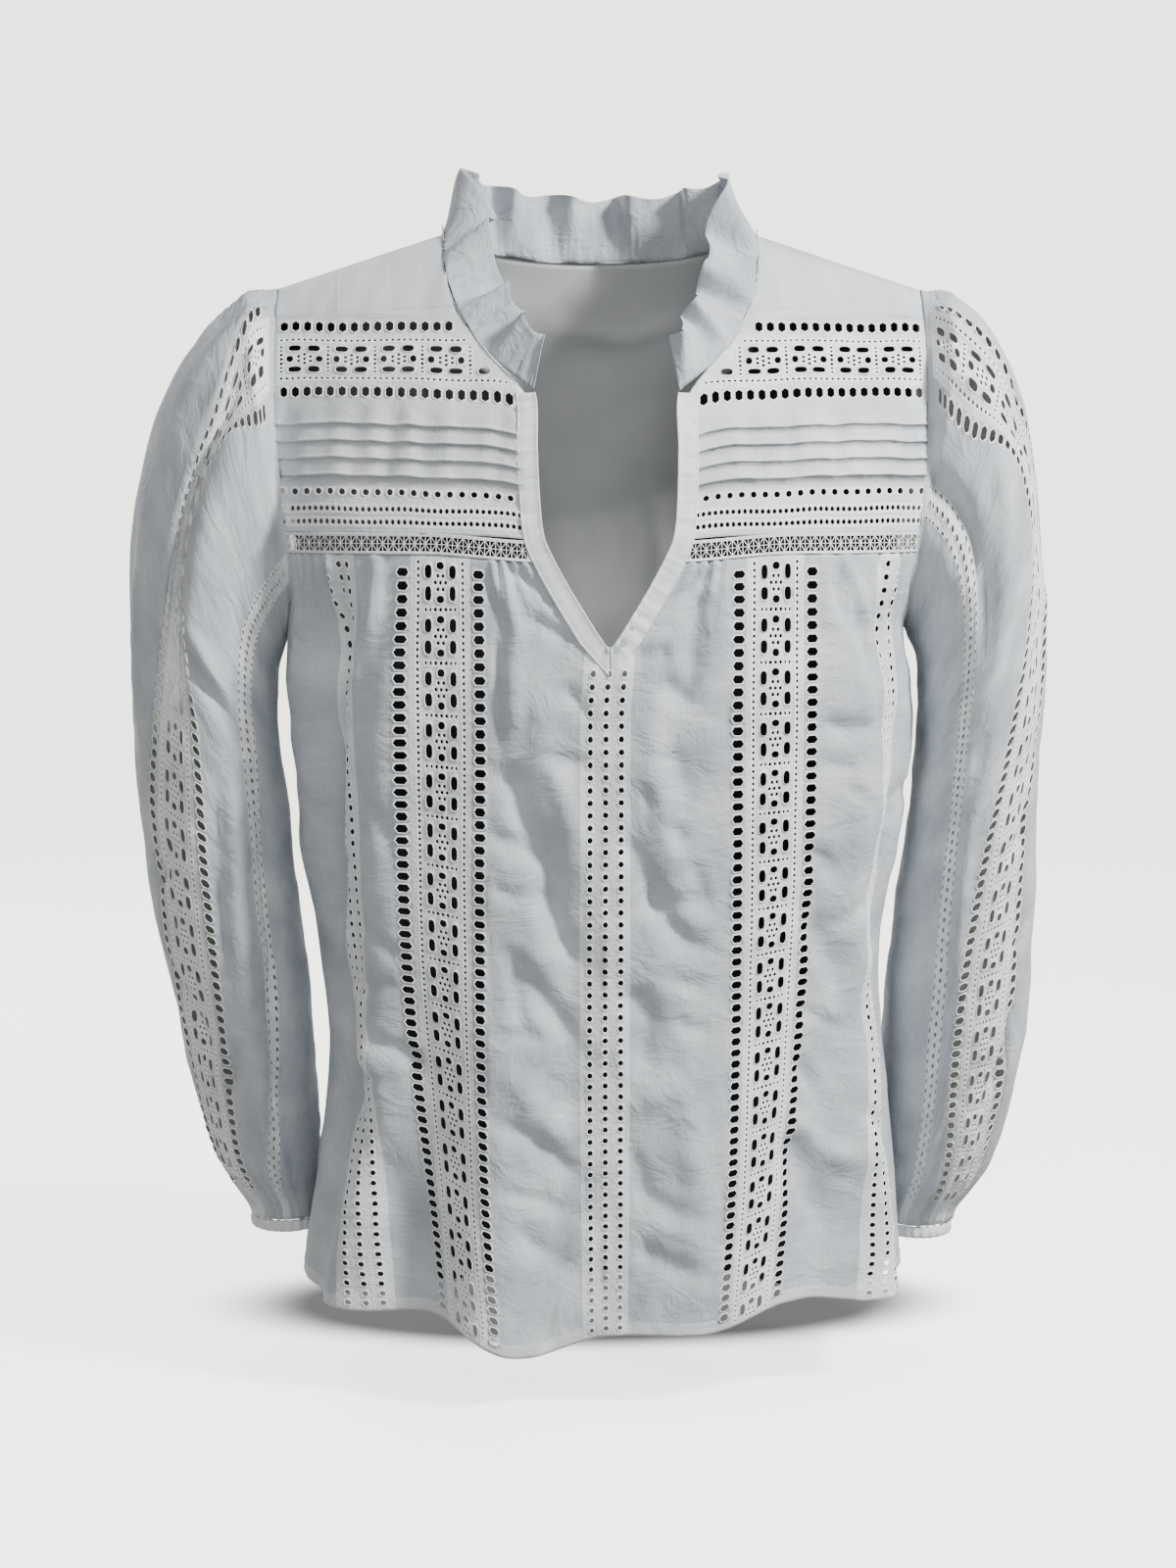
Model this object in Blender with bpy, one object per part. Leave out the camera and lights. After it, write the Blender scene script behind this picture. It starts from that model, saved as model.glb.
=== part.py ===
"""Eyelet blouse, filled out as worn: a gathered cotton blouse with yokes, a split ruffled neck and full sleeves.

Metres, +Z up, and the front faces -Y. The origin is the middle of the neck, level with the inner ends
of the shoulder seams, where the wearer's shoulders hold the blouse up. Left is the wearer's left, at +X.
"""

import math

import bmesh
import bpy
from mathutils import Vector

WALL = 0.0012  # cloth wall
SEAM_GAP = 0.0005  # between the edges of two pieces that are sewn together
LAY_GAP = 0.0004  # between a panel and a strip that lies on it

NECK_HALF_WIDTH = 0.095
SHOULDER_TIP_X = 0.195
SHOULDER_SLOPE = 0.33
V_CORNER_Z = -0.096  # top corners of the split neck, where the ruffle ends
V_POINT_Z = -0.246  # bottom of the split
UNDERARM_Z = -0.235
YOKE_BOTTOM_Z = -0.1785
LACE_BOTTOM_Z = -0.1900
PANEL_TOP_Z = LACE_BOTTOM_Z - SEAM_GAP
SHOULDER_TIP_Z = -SHOULDER_SLOPE * (SHOULDER_TIP_X - NECK_HALF_WIDTH)
ROUNDNESS = 2.4  # power of the oval that the front's level sections follow

# Level sections of the trunk. The half widths above the underarm run on past the armhole.
TRUNK_COLUMNS = ("z", "left_half", "right_half", "front", "back", "back_roundness")
TRUNK = (
    (0.040, 0.2150, 0.2150, 0.100, 0.092, 2.4),
    (-0.050, 0.2160, 0.2160, 0.104, 0.096, 2.4),
    (-0.100, 0.2155, 0.2155, 0.108, 0.099, 2.4),
    (-0.150, 0.2110, 0.2110, 0.112, 0.101, 2.4),
    (-0.190, 0.1990, 0.1990, 0.116, 0.101, 2.4),
    (-0.235, 0.1845, 0.1845, 0.120, 0.100, 2.3),
    (-0.270, 0.1900, 0.1870, 0.121, 0.099, 2.2),
    (-0.340, 0.1860, 0.1800, 0.119, 0.097, 2.1),
    (-0.400, 0.1750, 0.1755, 0.116, 0.096, 2.0),
    (-0.440, 0.1710, 0.1710, 0.114, 0.097, 2.0),
    (-0.485, 0.1735, 0.1660, 0.114, 0.099, 2.0),
    (-0.550, 0.1805, 0.1710, 0.117, 0.106, 2.0),
    (-0.610, 0.1850, 0.1800, 0.122, 0.113, 2.0),
    (-0.670, 0.1890, 0.1860, 0.127, 0.118, 2.0),
)

# The front neck edge, from the shoulder down to the V corner and on down the split.
NECK_EDGE_COLUMNS = ("z", "x")
NECK_EDGE = (
    (0.000, 0.0950),
    (-0.020, 0.0935),
    (-0.038, 0.0895),
    (-0.055, 0.0815),
    (-0.073, 0.0680),
    (-0.087, 0.0510),
    (-0.096, 0.0415),
    (-0.130, 0.0405),
    (-0.165, 0.0390),
    (-0.180, 0.0370),
    (-0.190, 0.0330),
    (-0.210, 0.0222),
    (-0.232, 0.0088),
    (-0.246, 0.0000),
)

ARMHOLE_EDGE_COLUMNS = ("z", "x")
ARMHOLE_EDGE = (
    (-0.033, 0.1960),
    (-0.090, 0.1970),
    (-0.140, 0.1935),
    (-0.190, 0.1870),
    (-0.235, 0.1845),
)

SEAM_DIP = 0.0045  # how much lower the seams under the yoke are at the neck edge

# Rows down each yoke. They bend down to the neck edge; a tuck's crest stands proud of the row below it.
YOKE_COLUMNS = ("neck_z", "arm_z", "bend", "raise")
TUCK = 0.0012
YOKE_ROWS = (
    (0.0000, -0.0330, 1.0, 0.0),
    (-0.0100, -0.0385, 1.1, 0.0),
    (-0.0220, -0.0435, 1.2, 0.0),
    (-0.0350, -0.0480, 1.4, 0.0),
    (-0.0480, -0.0500, 1.6, 0.0),
    (-0.0620, -0.0610, 2.4, 0.0),
    (-0.0740, -0.0710, 3.0, 0.0),
    (-0.0840, -0.0790, 3.0, 0.0),
    (-0.0930, -0.0870, 3.0, 0.0),
    (-0.1040, -0.0935, 3.0, 0.0),
    (-0.1265, -0.1145, 3.0, TUCK),
    (-0.1280, -0.1160, 3.0, 0.0),
    (-0.1360, -0.1245, 3.0, TUCK),
    (-0.1375, -0.1260, 3.0, 0.0),
    (-0.1455, -0.1345, 3.0, TUCK),
    (-0.1470, -0.1360, 3.0, 0.0),
    (-0.1550, -0.1445, 3.0, TUCK),
    (-0.1565, -0.1460, 3.0, 0.0),
    (-0.1700, -0.1630, 3.0, 0.0),
    (YOKE_BOTTOM_Z - SEAM_DIP, YOKE_BOTTOM_Z, 3.0, 0.0),
)
YOKE_ACROSS = 8

# Large folds of the front and back panels. Angles are degrees round the trunk from the middle, left positive.
FOLD_COLUMNS = ("top_angle", "hem_angle", "depth", "width", "top_z", "full_z")
FRONT_FOLDS = (
    (-40.0, -60.0, 0.0080, 6.5, -0.195, -0.280),
    (-57.0, -75.0, -0.0060, 7.0, -0.195, -0.270),
    (-36.0, -40.0, -0.0120, 9.0, -0.400, -0.640),
    (-20.0, -23.0, 0.0120, 8.0, -0.430, -0.650),
    (-12.0, -6.0, -0.0045, 7.0, -0.250, -0.420),
    (12.0, 20.0, 0.0050, 10.0, -0.380, -0.620),
    (40.0, 46.0, -0.0120, 9.0, -0.380, -0.620),
    (50.0, 65.0, 0.0070, 7.0, -0.195, -0.300),
    (66.0, 80.0, -0.0050, 7.0, -0.195, -0.270),
)
BACK_FOLDS = (
    (-50.0, -62.0, 0.0060, 8.0, -0.200, -0.420),
    (-32.0, -42.0, -0.0080, 8.0, -0.220, -0.560),
    (-14.0, -20.0, 0.0070, 8.0, -0.240, -0.560),
    (3.0, 2.0, -0.0070, 8.0, -0.200, -0.520),
    (20.0, 24.0, 0.0080, 8.0, -0.240, -0.560),
    (36.0, 45.0, -0.0080, 8.0, -0.220, -0.560),
    (54.0, 64.0, 0.0060, 8.0, -0.200, -0.420),
)

# The hem's height round the trunk, by angle from the middle front; the back repeats the last two rows.
HEM_COLUMNS = ("angle", "z")
FRONT_HEM = (
    (-90.0, -0.6300),
    (-62.0, -0.6390),
    (-44.0, -0.6370),
    (-23.0, -0.6590),
    (0.0, -0.6470),
    (24.0, -0.6460),
    (46.0, -0.6310),
    (66.0, -0.6380),
    (90.0, -0.6300),
)
BACK_HEM_DROP = 0.016
HEM_BAND = 0.010
HEM_RAISE = 0.0005

# Columns of each half of the front panel: gathered ones on both sides of the band, which two ladders bound.
GATHERS_BY_NECK = 6
BAND_COLUMNS = 3
GATHERS_BY_SIDE = 11
LADDER_HALF_WIDTH = 0.0065
GATHER = 0.0017
GATHER_FADE = 0.085
PANEL_ROWS = 12
SPLIT_ROW = 3
SPLIT_SHARE = 0.121

BACK_ACROSS = 24
BACK_ROWS = 13

# Eyelets that are over 4 mm both ways: the ladders beside the square motifs, and the rows of the yokes.
LADDER_COLUMNS = ("z", "inner_x", "outer_x")
LADDER = (
    (-0.195, 0.0760, 0.1190),
    (-0.290, 0.0750, 0.1190),
    (-0.380, 0.0755, 0.1180),
    (-0.470, 0.0750, 0.1150),
    (-0.560, 0.0720, 0.1080),
    (-0.640, 0.0660, 0.0970),
)
EYELETS_A_LADDER = 58
TOP_PITCH = 0.0079
PITCH_LOSS = 0.000033  # each eyelet lies this much closer to the last one than that did
LADDER_EYELET_WIDTH = 0.0070
LADDER_EYELET_SHARE = 0.61  # of the pitch, for its height
YOKE_EYELET = (0.0042, 0.0066)
YOKE_EYELET_ROWS = ((-0.0545, -0.0552, 15), (-0.1130, -0.0990, 19))
YOKE_EYELET_EDGE = 0.008
CUTTER_LENGTH = 0.010

# Rings of the sleeves: the outer and inner lines, then how far the ring's middle lies back, and its half depth.
SLEEVE_COLUMNS = ("outer_x", "outer_z", "inner_x", "inner_z", "back", "depth")
LEFT_SLEEVE = (
    (0.2130, -0.0360, 0.1885, -0.2410, 0.000, 0.053),
    (0.2330, -0.0510, 0.1915, -0.2480, 0.000, 0.058),
    (0.2510, -0.0800, 0.1945, -0.2590, 0.001, 0.061),
    (0.2630, -0.1220, 0.1960, -0.2750, 0.002, 0.063),
    (0.2700, -0.1800, 0.1960, -0.2990, 0.004, 0.064),
    (0.2715, -0.2600, 0.1930, -0.3400, 0.007, 0.064),
    (0.2700, -0.3400, 0.1865, -0.3960, 0.012, 0.064),
    (0.2700, -0.4150, 0.1810, -0.4500, 0.020, 0.064),
    (0.2690, -0.4780, 0.1790, -0.5000, 0.030, 0.063),
    (0.2620, -0.5330, 0.1790, -0.5430, 0.041, 0.058),
    (0.2480, -0.5780, 0.1800, -0.5800, 0.050, 0.050),
    (0.2300, -0.6050, 0.1800, -0.6060, 0.056, 0.036),
    (0.2270, -0.6150, 0.1810, -0.6150, 0.058, 0.033),
)
RIGHT_SLEEVE = (
    (0.2130, -0.0360, 0.1885, -0.2410, 0.000, 0.053),
    (0.2370, -0.0560, 0.1915, -0.2480, 0.000, 0.058),
    (0.2590, -0.0890, 0.1945, -0.2590, 0.001, 0.061),
    (0.2740, -0.1300, 0.1960, -0.2750, 0.002, 0.063),
    (0.2840, -0.1850, 0.1960, -0.2990, 0.004, 0.064),
    (0.2850, -0.2600, 0.1910, -0.3400, 0.007, 0.064),
    (0.2820, -0.3350, 0.1855, -0.3960, 0.012, 0.064),
    (0.2740, -0.4100, 0.1800, -0.4500, 0.020, 0.064),
    (0.2620, -0.4700, 0.1760, -0.5000, 0.030, 0.063),
    (0.2520, -0.5230, 0.1740, -0.5400, 0.041, 0.058),
    (0.2390, -0.5670, 0.1730, -0.5760, 0.049, 0.050),
    (0.2220, -0.5960, 0.1720, -0.5980, 0.055, 0.036),
    (0.2180, -0.6070, 0.1730, -0.6070, 0.057, 0.033),
)
SLEEVE_AROUND = 32

# Long folds of the sleeves: where on the ring, in degrees from the outer line round by the front, and over which rings.
SLEEVE_FOLD_COLUMNS = ("top_turn", "low_turn", "depth", "width", "first_ring", "last_ring")
SLEEVE_FOLDS = (
    (62.0, 78.0, -0.0080, 13.0, 1.0, 7.5),
    (88.0, 98.0, 0.0060, 12.0, 1.0, 9.0),
    (118.0, 124.0, -0.0050, 12.0, 3.0, 11.0),
    (20.0, 44.0, 0.0030, 14.0, 2.0, 9.0),
    (-40.0, -50.0, -0.0050, 13.0, 2.0, 10.0),
    (-85.0, -90.0, 0.0050, 14.0, 2.0, 10.0),
    (-125.0, -120.0, -0.0040, 13.0, 4.0, 11.0),
)
CAP_PLEAT = 0.0028
CUFF_GATHER = 0.0022
CUFF_HEIGHT = 0.0075

RUFFLE_WAVES = 16
POINTS_A_WAVE = 4
RUFFLE_SWING = 0.0065
RUFFLE_GAP = 0.0008
# How the ruffle stands along the neck edge: height, then its lean across, back and up for the wearer's left.
RUFFLE_COLUMNS = ("share", "height", "across", "back", "up")
RUFFLE = (
    (0.00, 0.030, -0.10, -0.10, 1.00),
    (0.05, 0.031, -0.52, -0.04, 0.84),
    (0.10, 0.033, -0.76, 0.06, 0.62),
    (0.16, 0.034, -0.93, 0.16, 0.36),
    (0.22, 0.036, -0.84, 0.10, 0.60),
    (0.29, 0.042, -0.36, 0.00, 0.95),
    (0.38, 0.041, -0.02, -0.06, 1.00),
    (0.50, 0.040, 0.00, -0.04, 1.00),
)

BINDING_WIDTH = 0.012
BINDING_ROWS = (-0.0970, -0.1150, -0.1350, -0.1550, -0.1740, -0.1850, -0.1960, -0.2100, -0.2230, -0.2350)


def at(table, key):
    """The other columns of a table's row at this key, smoothly between the rows on each side."""
    rows = sorted(table)
    key = min(max(key, rows[0][0]), rows[-1][0])
    low = max(k for k in range(len(rows) - 1) if rows[k][0] <= key)
    before, here, there, after = rows[max(low - 1, 0)], rows[low], rows[low + 1], rows[min(low + 2, len(rows) - 1)]
    span = there[0] - here[0]
    share = (key - here[0]) / span
    found = []
    for column in range(1, len(here)):
        leave = (there[column] - before[column]) / (there[0] - before[0]) * span
        arrive = (after[column] - here[column]) / (after[0] - here[0]) * span
        rise = there[column] - here[column]
        found.append(
            here[column]
            + leave * share
            + (3 * rise - 2 * leave - arrive) * share**2
            + (leave + arrive - 2 * rise) * share**3
        )
    return found


def ease(share):
    share = min(max(share, 0.0), 1.0)
    return share * share * (3 - 2 * share)


def shoulder_line(x):
    return -SHOULDER_SLOPE * (abs(x) - NECK_HALF_WIDTH)


def front_point(angle, z):
    """A point of the front's plain form: angle in degrees from the middle front, left positive."""
    left_half, right_half, depth, _, _ = at(TRUNK, z)
    half_width = left_half if angle > 0 else right_half
    sine = math.sin(math.radians(angle))
    x = half_width * sine
    fall = min(max(shoulder_line(x) - z, 0.0) / 0.22, 1.0)
    slope = math.sin(math.pi / 2 * fall) ** 0.7
    return Vector((x, -depth * max(1 - abs(sine) ** ROUNDNESS, 0.0) ** (1 / ROUNDNESS) * slope, z))


def back_point(angle, z):
    """A point of the back's plain form: angle in degrees from the middle back, left positive."""
    left_half, right_half, _, depth, roundness = at(TRUNK, z)
    half_width = left_half if angle > 0 else right_half
    sine = math.sin(math.radians(angle))
    x = half_width * sine
    fall = min(max(shoulder_line(x) - z, 0.0) / 0.17, 1.0)
    slope = math.sin(math.pi / 2 * fall) ** 0.5
    return Vector((x, depth * max(1 - abs(sine) ** roundness, 0.0) ** (1 / roundness) * slope, z))


def outwards(surface, angle, z):
    """The unit direction out of the cloth there."""
    around = surface(min(angle + 0.2, 90), z) - surface(max(angle - 0.2, -90), z)
    down = surface(angle, z - 0.0008) - surface(angle, z + 0.0008)
    normal = around.cross(down)
    if normal.length < 1e-12:
        return Vector((0, 0, 1))
    normal.normalize()
    middle = Vector((0, 0, z - 0.05))
    return normal if normal.dot(surface(angle, z) - middle) > 0 else -normal


def angle_of(x, z):
    half_width = at(TRUNK, z)[0 if x > 0 else 1]
    return math.degrees(math.asin(min(max(x / half_width, -1.0), 1.0)))


def fold_height(folds, angle, z):
    """How far the large folds move the cloth out at this angle and height."""
    moved = 0.0
    for top_angle, hem_angle, depth, width, top_z, full_z in folds:
        along = (PANEL_TOP_Z - z) / (PANEL_TOP_Z - V_POINT_Z + 0.40)
        middle = top_angle + (hem_angle - top_angle) * min(max(along, 0.0), 1.0)
        grown = ease((top_z - z) / (top_z - full_z))
        moved += depth * grown * math.exp(-(((angle - middle) / width) ** 2))
    return moved


def pair(surface, angle, z, moved=0.0, raised=0.0):
    """The wall's outer and inner points where its plain form is moved out by folds; raised lifts the outer one only."""
    normal = outwards(surface, angle, z)
    base = surface(angle, z) + normal * moved
    return base + normal * raised, base - normal * WALL


def shoulder_pair(x, y):
    """The wall's outer and inner points on the shoulder line."""
    base = Vector((x, y, shoulder_line(x)))
    return base, base - Vector((math.copysign(SHOULDER_SLOPE, x), 0, 1)).normalized() * WALL


def side_pair(side, y, z, raised=0.0):
    """The wall's outer and inner points at the side seam."""
    half_width = at(TRUNK, z)[0 if side > 0 else 1]
    return Vector((side * (half_width + raised), y, z)), Vector((side * (half_width - WALL), y, z))


def rim_edges(faces):
    """The edges that only one face uses, in that face's own direction."""
    edges = {}
    for face in faces:
        for a, b in zip(face, face[1:] + face[:1]):
            edges[(a, b)] = True
    return [(a, b) for a, b in edges if (b, a) not in edges]


def halves(face, points):
    """The two triangles of a face, along its shorter diagonal on the outer side."""
    a, b, c, d = face
    if (points[a][0] - points[c][0]).length <= (points[b][0] - points[d][0]).length:
        return (a, b, c), (a, c, d)
    return (a, b, d), (b, c, d)


def cloth(name, points, faces, material, cutter=None):
    """A closed cloth wall on an open sheet of faces, whose corners each have an outer and an inner point."""
    mesh = bmesh.new()
    outer = [mesh.verts.new(p) for p, _ in points]
    inner = [mesh.verts.new(p) for _, p in points]
    for face in faces:
        for half in halves(face, points):
            mesh.faces.new([outer[k] for k in half])
            mesh.faces.new([inner[k] for k in reversed(half)])
    for a, b in rim_edges(faces):
        mesh.faces.new([outer[b], outer[a], inner[a], inner[b]])
    bmesh.ops.triangulate(mesh, faces=mesh.faces, quad_method="SHORT_EDGE")
    bmesh.ops.recalc_face_normals(mesh, faces=mesh.faces)
    data = bpy.data.meshes.new(name)
    mesh.to_mesh(data)
    mesh.free()
    thing = bpy.data.objects.new(name, data)
    blouse.objects.link(thing)
    thing.data.materials.append(material)
    thing.data.shade_smooth()
    thing.data.set_sharp_from_angle(angle=math.radians(50))
    if cutter:
        cut = thing.modifiers.new("Eyelets", "BOOLEAN")
        cut.operation = "DIFFERENCE"
        cut.solver = "EXACT"
        cut.object = cutter
    return thing


def sheet_faces(rows, columns, around=False, turned=False):
    """Faces of a grid of points given row by row; around joins the last column to the first."""
    faces = []
    for row in range(rows - 1):
        for column in range(columns if around else columns - 1):
            beside = (column + 1) % columns
            face = [row * columns + column, (row + 1) * columns + column]
            face += [(row + 1) * columns + beside, row * columns + beside]
            faces.append(face[::-1] if turned else face)
    return faces


def eyelet_cutter(name, places):
    """One mesh of straight prisms, each given by its middle, its width and height directions and sizes."""
    mesh = bmesh.new()
    for middle, across, up, width, height in places:
        out = across.cross(up).normalized() * CUTTER_LENGTH / 2
        rings = []
        for end in (-out, out):
            ring = []
            for right, high in ((1, 1), (-1, 1), (-1, -1), (1, -1)):
                ring.append(mesh.verts.new(middle + end + across * right * width / 2 + up * high * height / 2))
            rings.append(ring)
        near, far = rings
        mesh.faces.new(near[::-1])
        mesh.faces.new(far)
        for corner in range(4):
            beside = (corner + 1) % 4
            mesh.faces.new([near[corner], near[beside], far[beside], far[corner]])
    bmesh.ops.recalc_face_normals(mesh, faces=mesh.faces)
    data = bpy.data.meshes.new(name)
    mesh.to_mesh(data)
    mesh.free()
    thing = bpy.data.objects.new(name, data)
    thing.hide_render = True
    thing.display_type = "WIRE"
    cutters.objects.link(thing)
    return thing


def yoke_place(side, share, row):
    """Angle and height of the yoke at a share of the way from its neck edge to its armhole edge."""
    neck_z, arm_z, bend, _ = row
    z = arm_z + (neck_z - arm_z) * (1 - share) ** bend
    start = at(NECK_EDGE, neck_z)[0] + SEAM_GAP / 2
    x = start + (at(ARMHOLE_EDGE, arm_z)[0] - start) * share
    if row is YOKE_ROWS[-1]:
        z = seam_z(x, YOKE_BOTTOM_Z)
    return angle_of(side * x, z), z


def build_yoke(side, name, material):
    tuck_clear = 0.13  # the tucks stop short of the binding and of the armhole
    points = []
    for row in YOKE_ROWS:
        for column in range(YOKE_ACROSS + 1):
            share = column / YOKE_ACROSS
            if row is YOKE_ROWS[0]:
                start = NECK_HALF_WIDTH + SEAM_GAP / 2
                points.append(shoulder_pair(side * (start + (SHOULDER_TIP_X - start) * share), -SEAM_GAP / 2))
                continue
            angle, z = yoke_place(side, share, row)
            raised = row[3] if tuck_clear < share < 0.95 else 0.0
            points.append(pair(front_point, angle, z, raised=raised))
    places = []
    for neck_z, arm_z, count in YOKE_EYELET_ROWS:
        row = (neck_z, arm_z, 3.0, 0.0)
        length = at(ARMHOLE_EDGE, arm_z)[0] - at(NECK_EDGE, neck_z)[0]
        clear = YOKE_EYELET_EDGE / length
        for number in range(count):
            share = clear * 1.6 + (1 - clear * 2.6) * number / (count - 1)
            places.append(eyelet_place(*yoke_place(side, share, row), *YOKE_EYELET))
    cutter = eyelet_cutter(f"{name}_eyelets", places)
    faces = sheet_faces(len(YOKE_ROWS), YOKE_ACROSS + 1, turned=side < 0)
    return cloth(name, points, faces, material, cutter)


def eyelet_place(angle, z, width, height, moved=0.0):
    normal = outwards(front_point, angle, z)
    across = (front_point(angle + 0.5, z) - front_point(angle - 0.5, z)).normalized()
    up = normal.cross(across).normalized()
    return front_point(angle, z) + normal * (moved - WALL / 2), across, up, width, height


def seam_z(x, z):
    """Height of a seam under the yoke, which dips to the neck edge."""
    return z - SEAM_DIP * (1 - ease((abs(x) - 0.035) / 0.075))


def build_lace(side, name, material):
    across = 12
    points = []
    for level in (YOKE_BOTTOM_Z - SEAM_GAP, (YOKE_BOTTOM_Z + LACE_BOTTOM_Z) / 2, LACE_BOTTOM_Z):
        for column in range(across + 1):
            start = at(NECK_EDGE, level - SEAM_DIP)[0] + SEAM_GAP / 2
            end = at(ARMHOLE_EDGE, level)[0]
            x = start + (end - start) * column / across
            z = seam_z(x, level)
            points.append(pair(front_point, angle_of(side * x, z), z))
    return cloth(name, points, sheet_faces(3, across + 1, turned=side < 0), material)


def panel_angles(side, start, end, z):
    """Angles of the columns of half the front panel at a height; each ladder has a column to itself."""
    edges = [start]
    for ladder in at(LADDER, z):
        edges += [abs(angle_of(side * (ladder + way * LADDER_HALF_WIDTH), z)) for way in (-1, 1)]
    edges.append(end)
    angles = []
    for low, high, count in zip(edges, edges[1:], (GATHERS_BY_NECK, 1, BAND_COLUMNS, 1, GATHERS_BY_SIDE)):
        angles += [low + (high - low) * k / count for k in range(count)]
    return angles + [end]


PANEL_COLUMNS = GATHERS_BY_NECK + BAND_COLUMNS + GATHERS_BY_SIDE + 3


def gather_height(column, z):
    """Gathers under the yoke seam: every second column of the gathered stretches stands out."""
    in_band = GATHERS_BY_NECK <= column <= GATHERS_BY_NECK + BAND_COLUMNS + 2
    if column < 3 or in_band or column >= PANEL_COLUMNS - 1:
        return 0.0
    return GATHER * (1 if column % 2 else -1) * (1 - ease((PANEL_TOP_Z - z) / GATHER_FADE))


def panel_levels():
    """Heights of the front panel's rows as shares of its length; the hem band's two rows come last."""
    below = PANEL_ROWS - SPLIT_ROW - 2
    return [0.0, 0.040, 0.078] + [SPLIT_SHARE + (0.93 - SPLIT_SHARE) * k / (below - 1) for k in range(below)] + [1, 1]


def build_front_panel(name, material):
    points = []
    index = {}
    faces = []
    for side in (-1, 1):
        grid = [
            [front_panel_corner(side, level, column, points, index) for column in range(PANEL_COLUMNS)]
            for level in range(PANEL_ROWS)
        ]
        for level in range(PANEL_ROWS - 1):
            for column in range(PANEL_COLUMNS - 1):
                face = [grid[level][column], grid[level + 1][column]]
                face += [grid[level + 1][column + 1], grid[level][column + 1]]
                faces.append(face if side > 0 else face[::-1])
    places = []
    for side in (-1, 1):
        for line in (0, 1):
            z = PANEL_TOP_Z - 0.006
            pitch = TOP_PITCH
            for _ in range(EYELETS_A_LADDER):
                angle = angle_of(side * at(LADDER, z)[line], z)
                moved = fold_height(FRONT_FOLDS, angle, z)
                places.append(eyelet_place(angle, z, LADDER_EYELET_WIDTH, pitch * LADDER_EYELET_SHARE, moved))
                z -= pitch
                pitch -= PITCH_LOSS
    return cloth(name, points, faces, material, eyelet_cutter(f"{name}_eyelets", places))


def front_panel_corner(side, level, column, points, index):
    """The number of this corner of the front panel; the middle column is shared by both halves under the split."""
    levels = panel_levels()
    key = (side, level, column) if column or level < SPLIT_ROW else (0, level, 0)
    if key in index:
        return index[key]
    hem_row = level >= PANEL_ROWS - 2
    z = PANEL_TOP_Z + (V_POINT_Z - PANEL_TOP_Z) * levels[level] / levels[SPLIT_ROW]
    if level > SPLIT_ROW:
        reach = (min(levels[level], 1.0) - levels[SPLIT_ROW]) / (1 - levels[SPLIT_ROW])
        hem_z = at(FRONT_HEM, side * 90 * column / (PANEL_COLUMNS - 1))[0]
        z = V_POINT_Z + (hem_z - V_POINT_Z) * reach
        if level == PANEL_ROWS - 2:
            z = hem_z + HEM_BAND
    end = 90.0
    start = 0.0
    if z > UNDERARM_Z:
        end = abs(angle_of(side * at(ARMHOLE_EDGE, z)[0], z))
    if level < SPLIT_ROW:
        start = abs(angle_of(side * (at(NECK_EDGE, z - SEAM_DIP * (level == 0))[0] + SEAM_GAP / 2), z))
    angle = side * panel_angles(side, start, end, z)[column]
    if level == 0:
        z = seam_z(front_point(angle, z).x, z)
    raised = HEM_RAISE if hem_row else 0.0
    if column == PANEL_COLUMNS - 1 and z < UNDERARM_Z:
        points.append(side_pair(side, -SEAM_GAP / 2, z, raised))
    else:
        moved = fold_height(FRONT_FOLDS, angle, z) + gather_height(column, z)
        points.append(pair(front_point, angle, z, moved if column < PANEL_COLUMNS - 1 else 0.0, raised))
    index[key] = len(points) - 1
    return index[key]


def back_top(x):
    """Top edge of the back: the back neck between the shoulder seams."""
    if abs(x) >= NECK_HALF_WIDTH:
        return shoulder_line(x)
    return -0.013 * (1 - (abs(x) / NECK_HALF_WIDTH) ** 2.5)


def build_back_panel(name, material):
    levels = (0.0, 0.05, 0.11, 0.18, 0.26, 0.36)
    points = []
    for row in range(BACK_ROWS):
        hem_row = row >= BACK_ROWS - 2
        for column in range(BACK_ACROSS + 1):
            across = -1 + 2 * column / BACK_ACROSS
            if row < len(levels):
                share = levels[row] / levels[-1]
                arm_z = SHOULDER_TIP_Z + (UNDERARM_Z - SHOULDER_TIP_Z) * share
                x = across * at(ARMHOLE_EDGE, arm_z)[0]
                top = back_top(x)
                if row == 0 and abs(x) > NECK_HALF_WIDTH:
                    points.append(shoulder_pair(x, SEAM_GAP / 2))
                    continue
                z = top + (UNDERARM_Z - top) * share
                z = z * (1 - abs(across) ** 6) + arm_z * abs(across) ** 6 if row else top
                angle = angle_of(x, z)
            else:
                angle = 90 * across
                down = (row - len(levels) + 1) / (BACK_ROWS - len(levels) - 1)
                hem_z = FRONT_HEM[0][1] - BACK_HEM_DROP * math.cos(math.radians(angle)) ** 2
                z = hem_z if hem_row else UNDERARM_Z + (hem_z - UNDERARM_Z) * down
                z += HEM_BAND if row == BACK_ROWS - 2 else 0.0
            raised = HEM_RAISE if hem_row else 0.0
            if abs(across) == 1 and row >= len(levels) - 1:
                points.append(side_pair(across, SEAM_GAP / 2, z, raised))
                continue
            moved = fold_height(BACK_FOLDS, angle, z) if abs(across) < 1 else 0.0
            points.append(pair(back_point, angle, z, moved, raised))
    return cloth(name, points, sheet_faces(BACK_ROWS, BACK_ACROSS + 1, turned=True), material)


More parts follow.
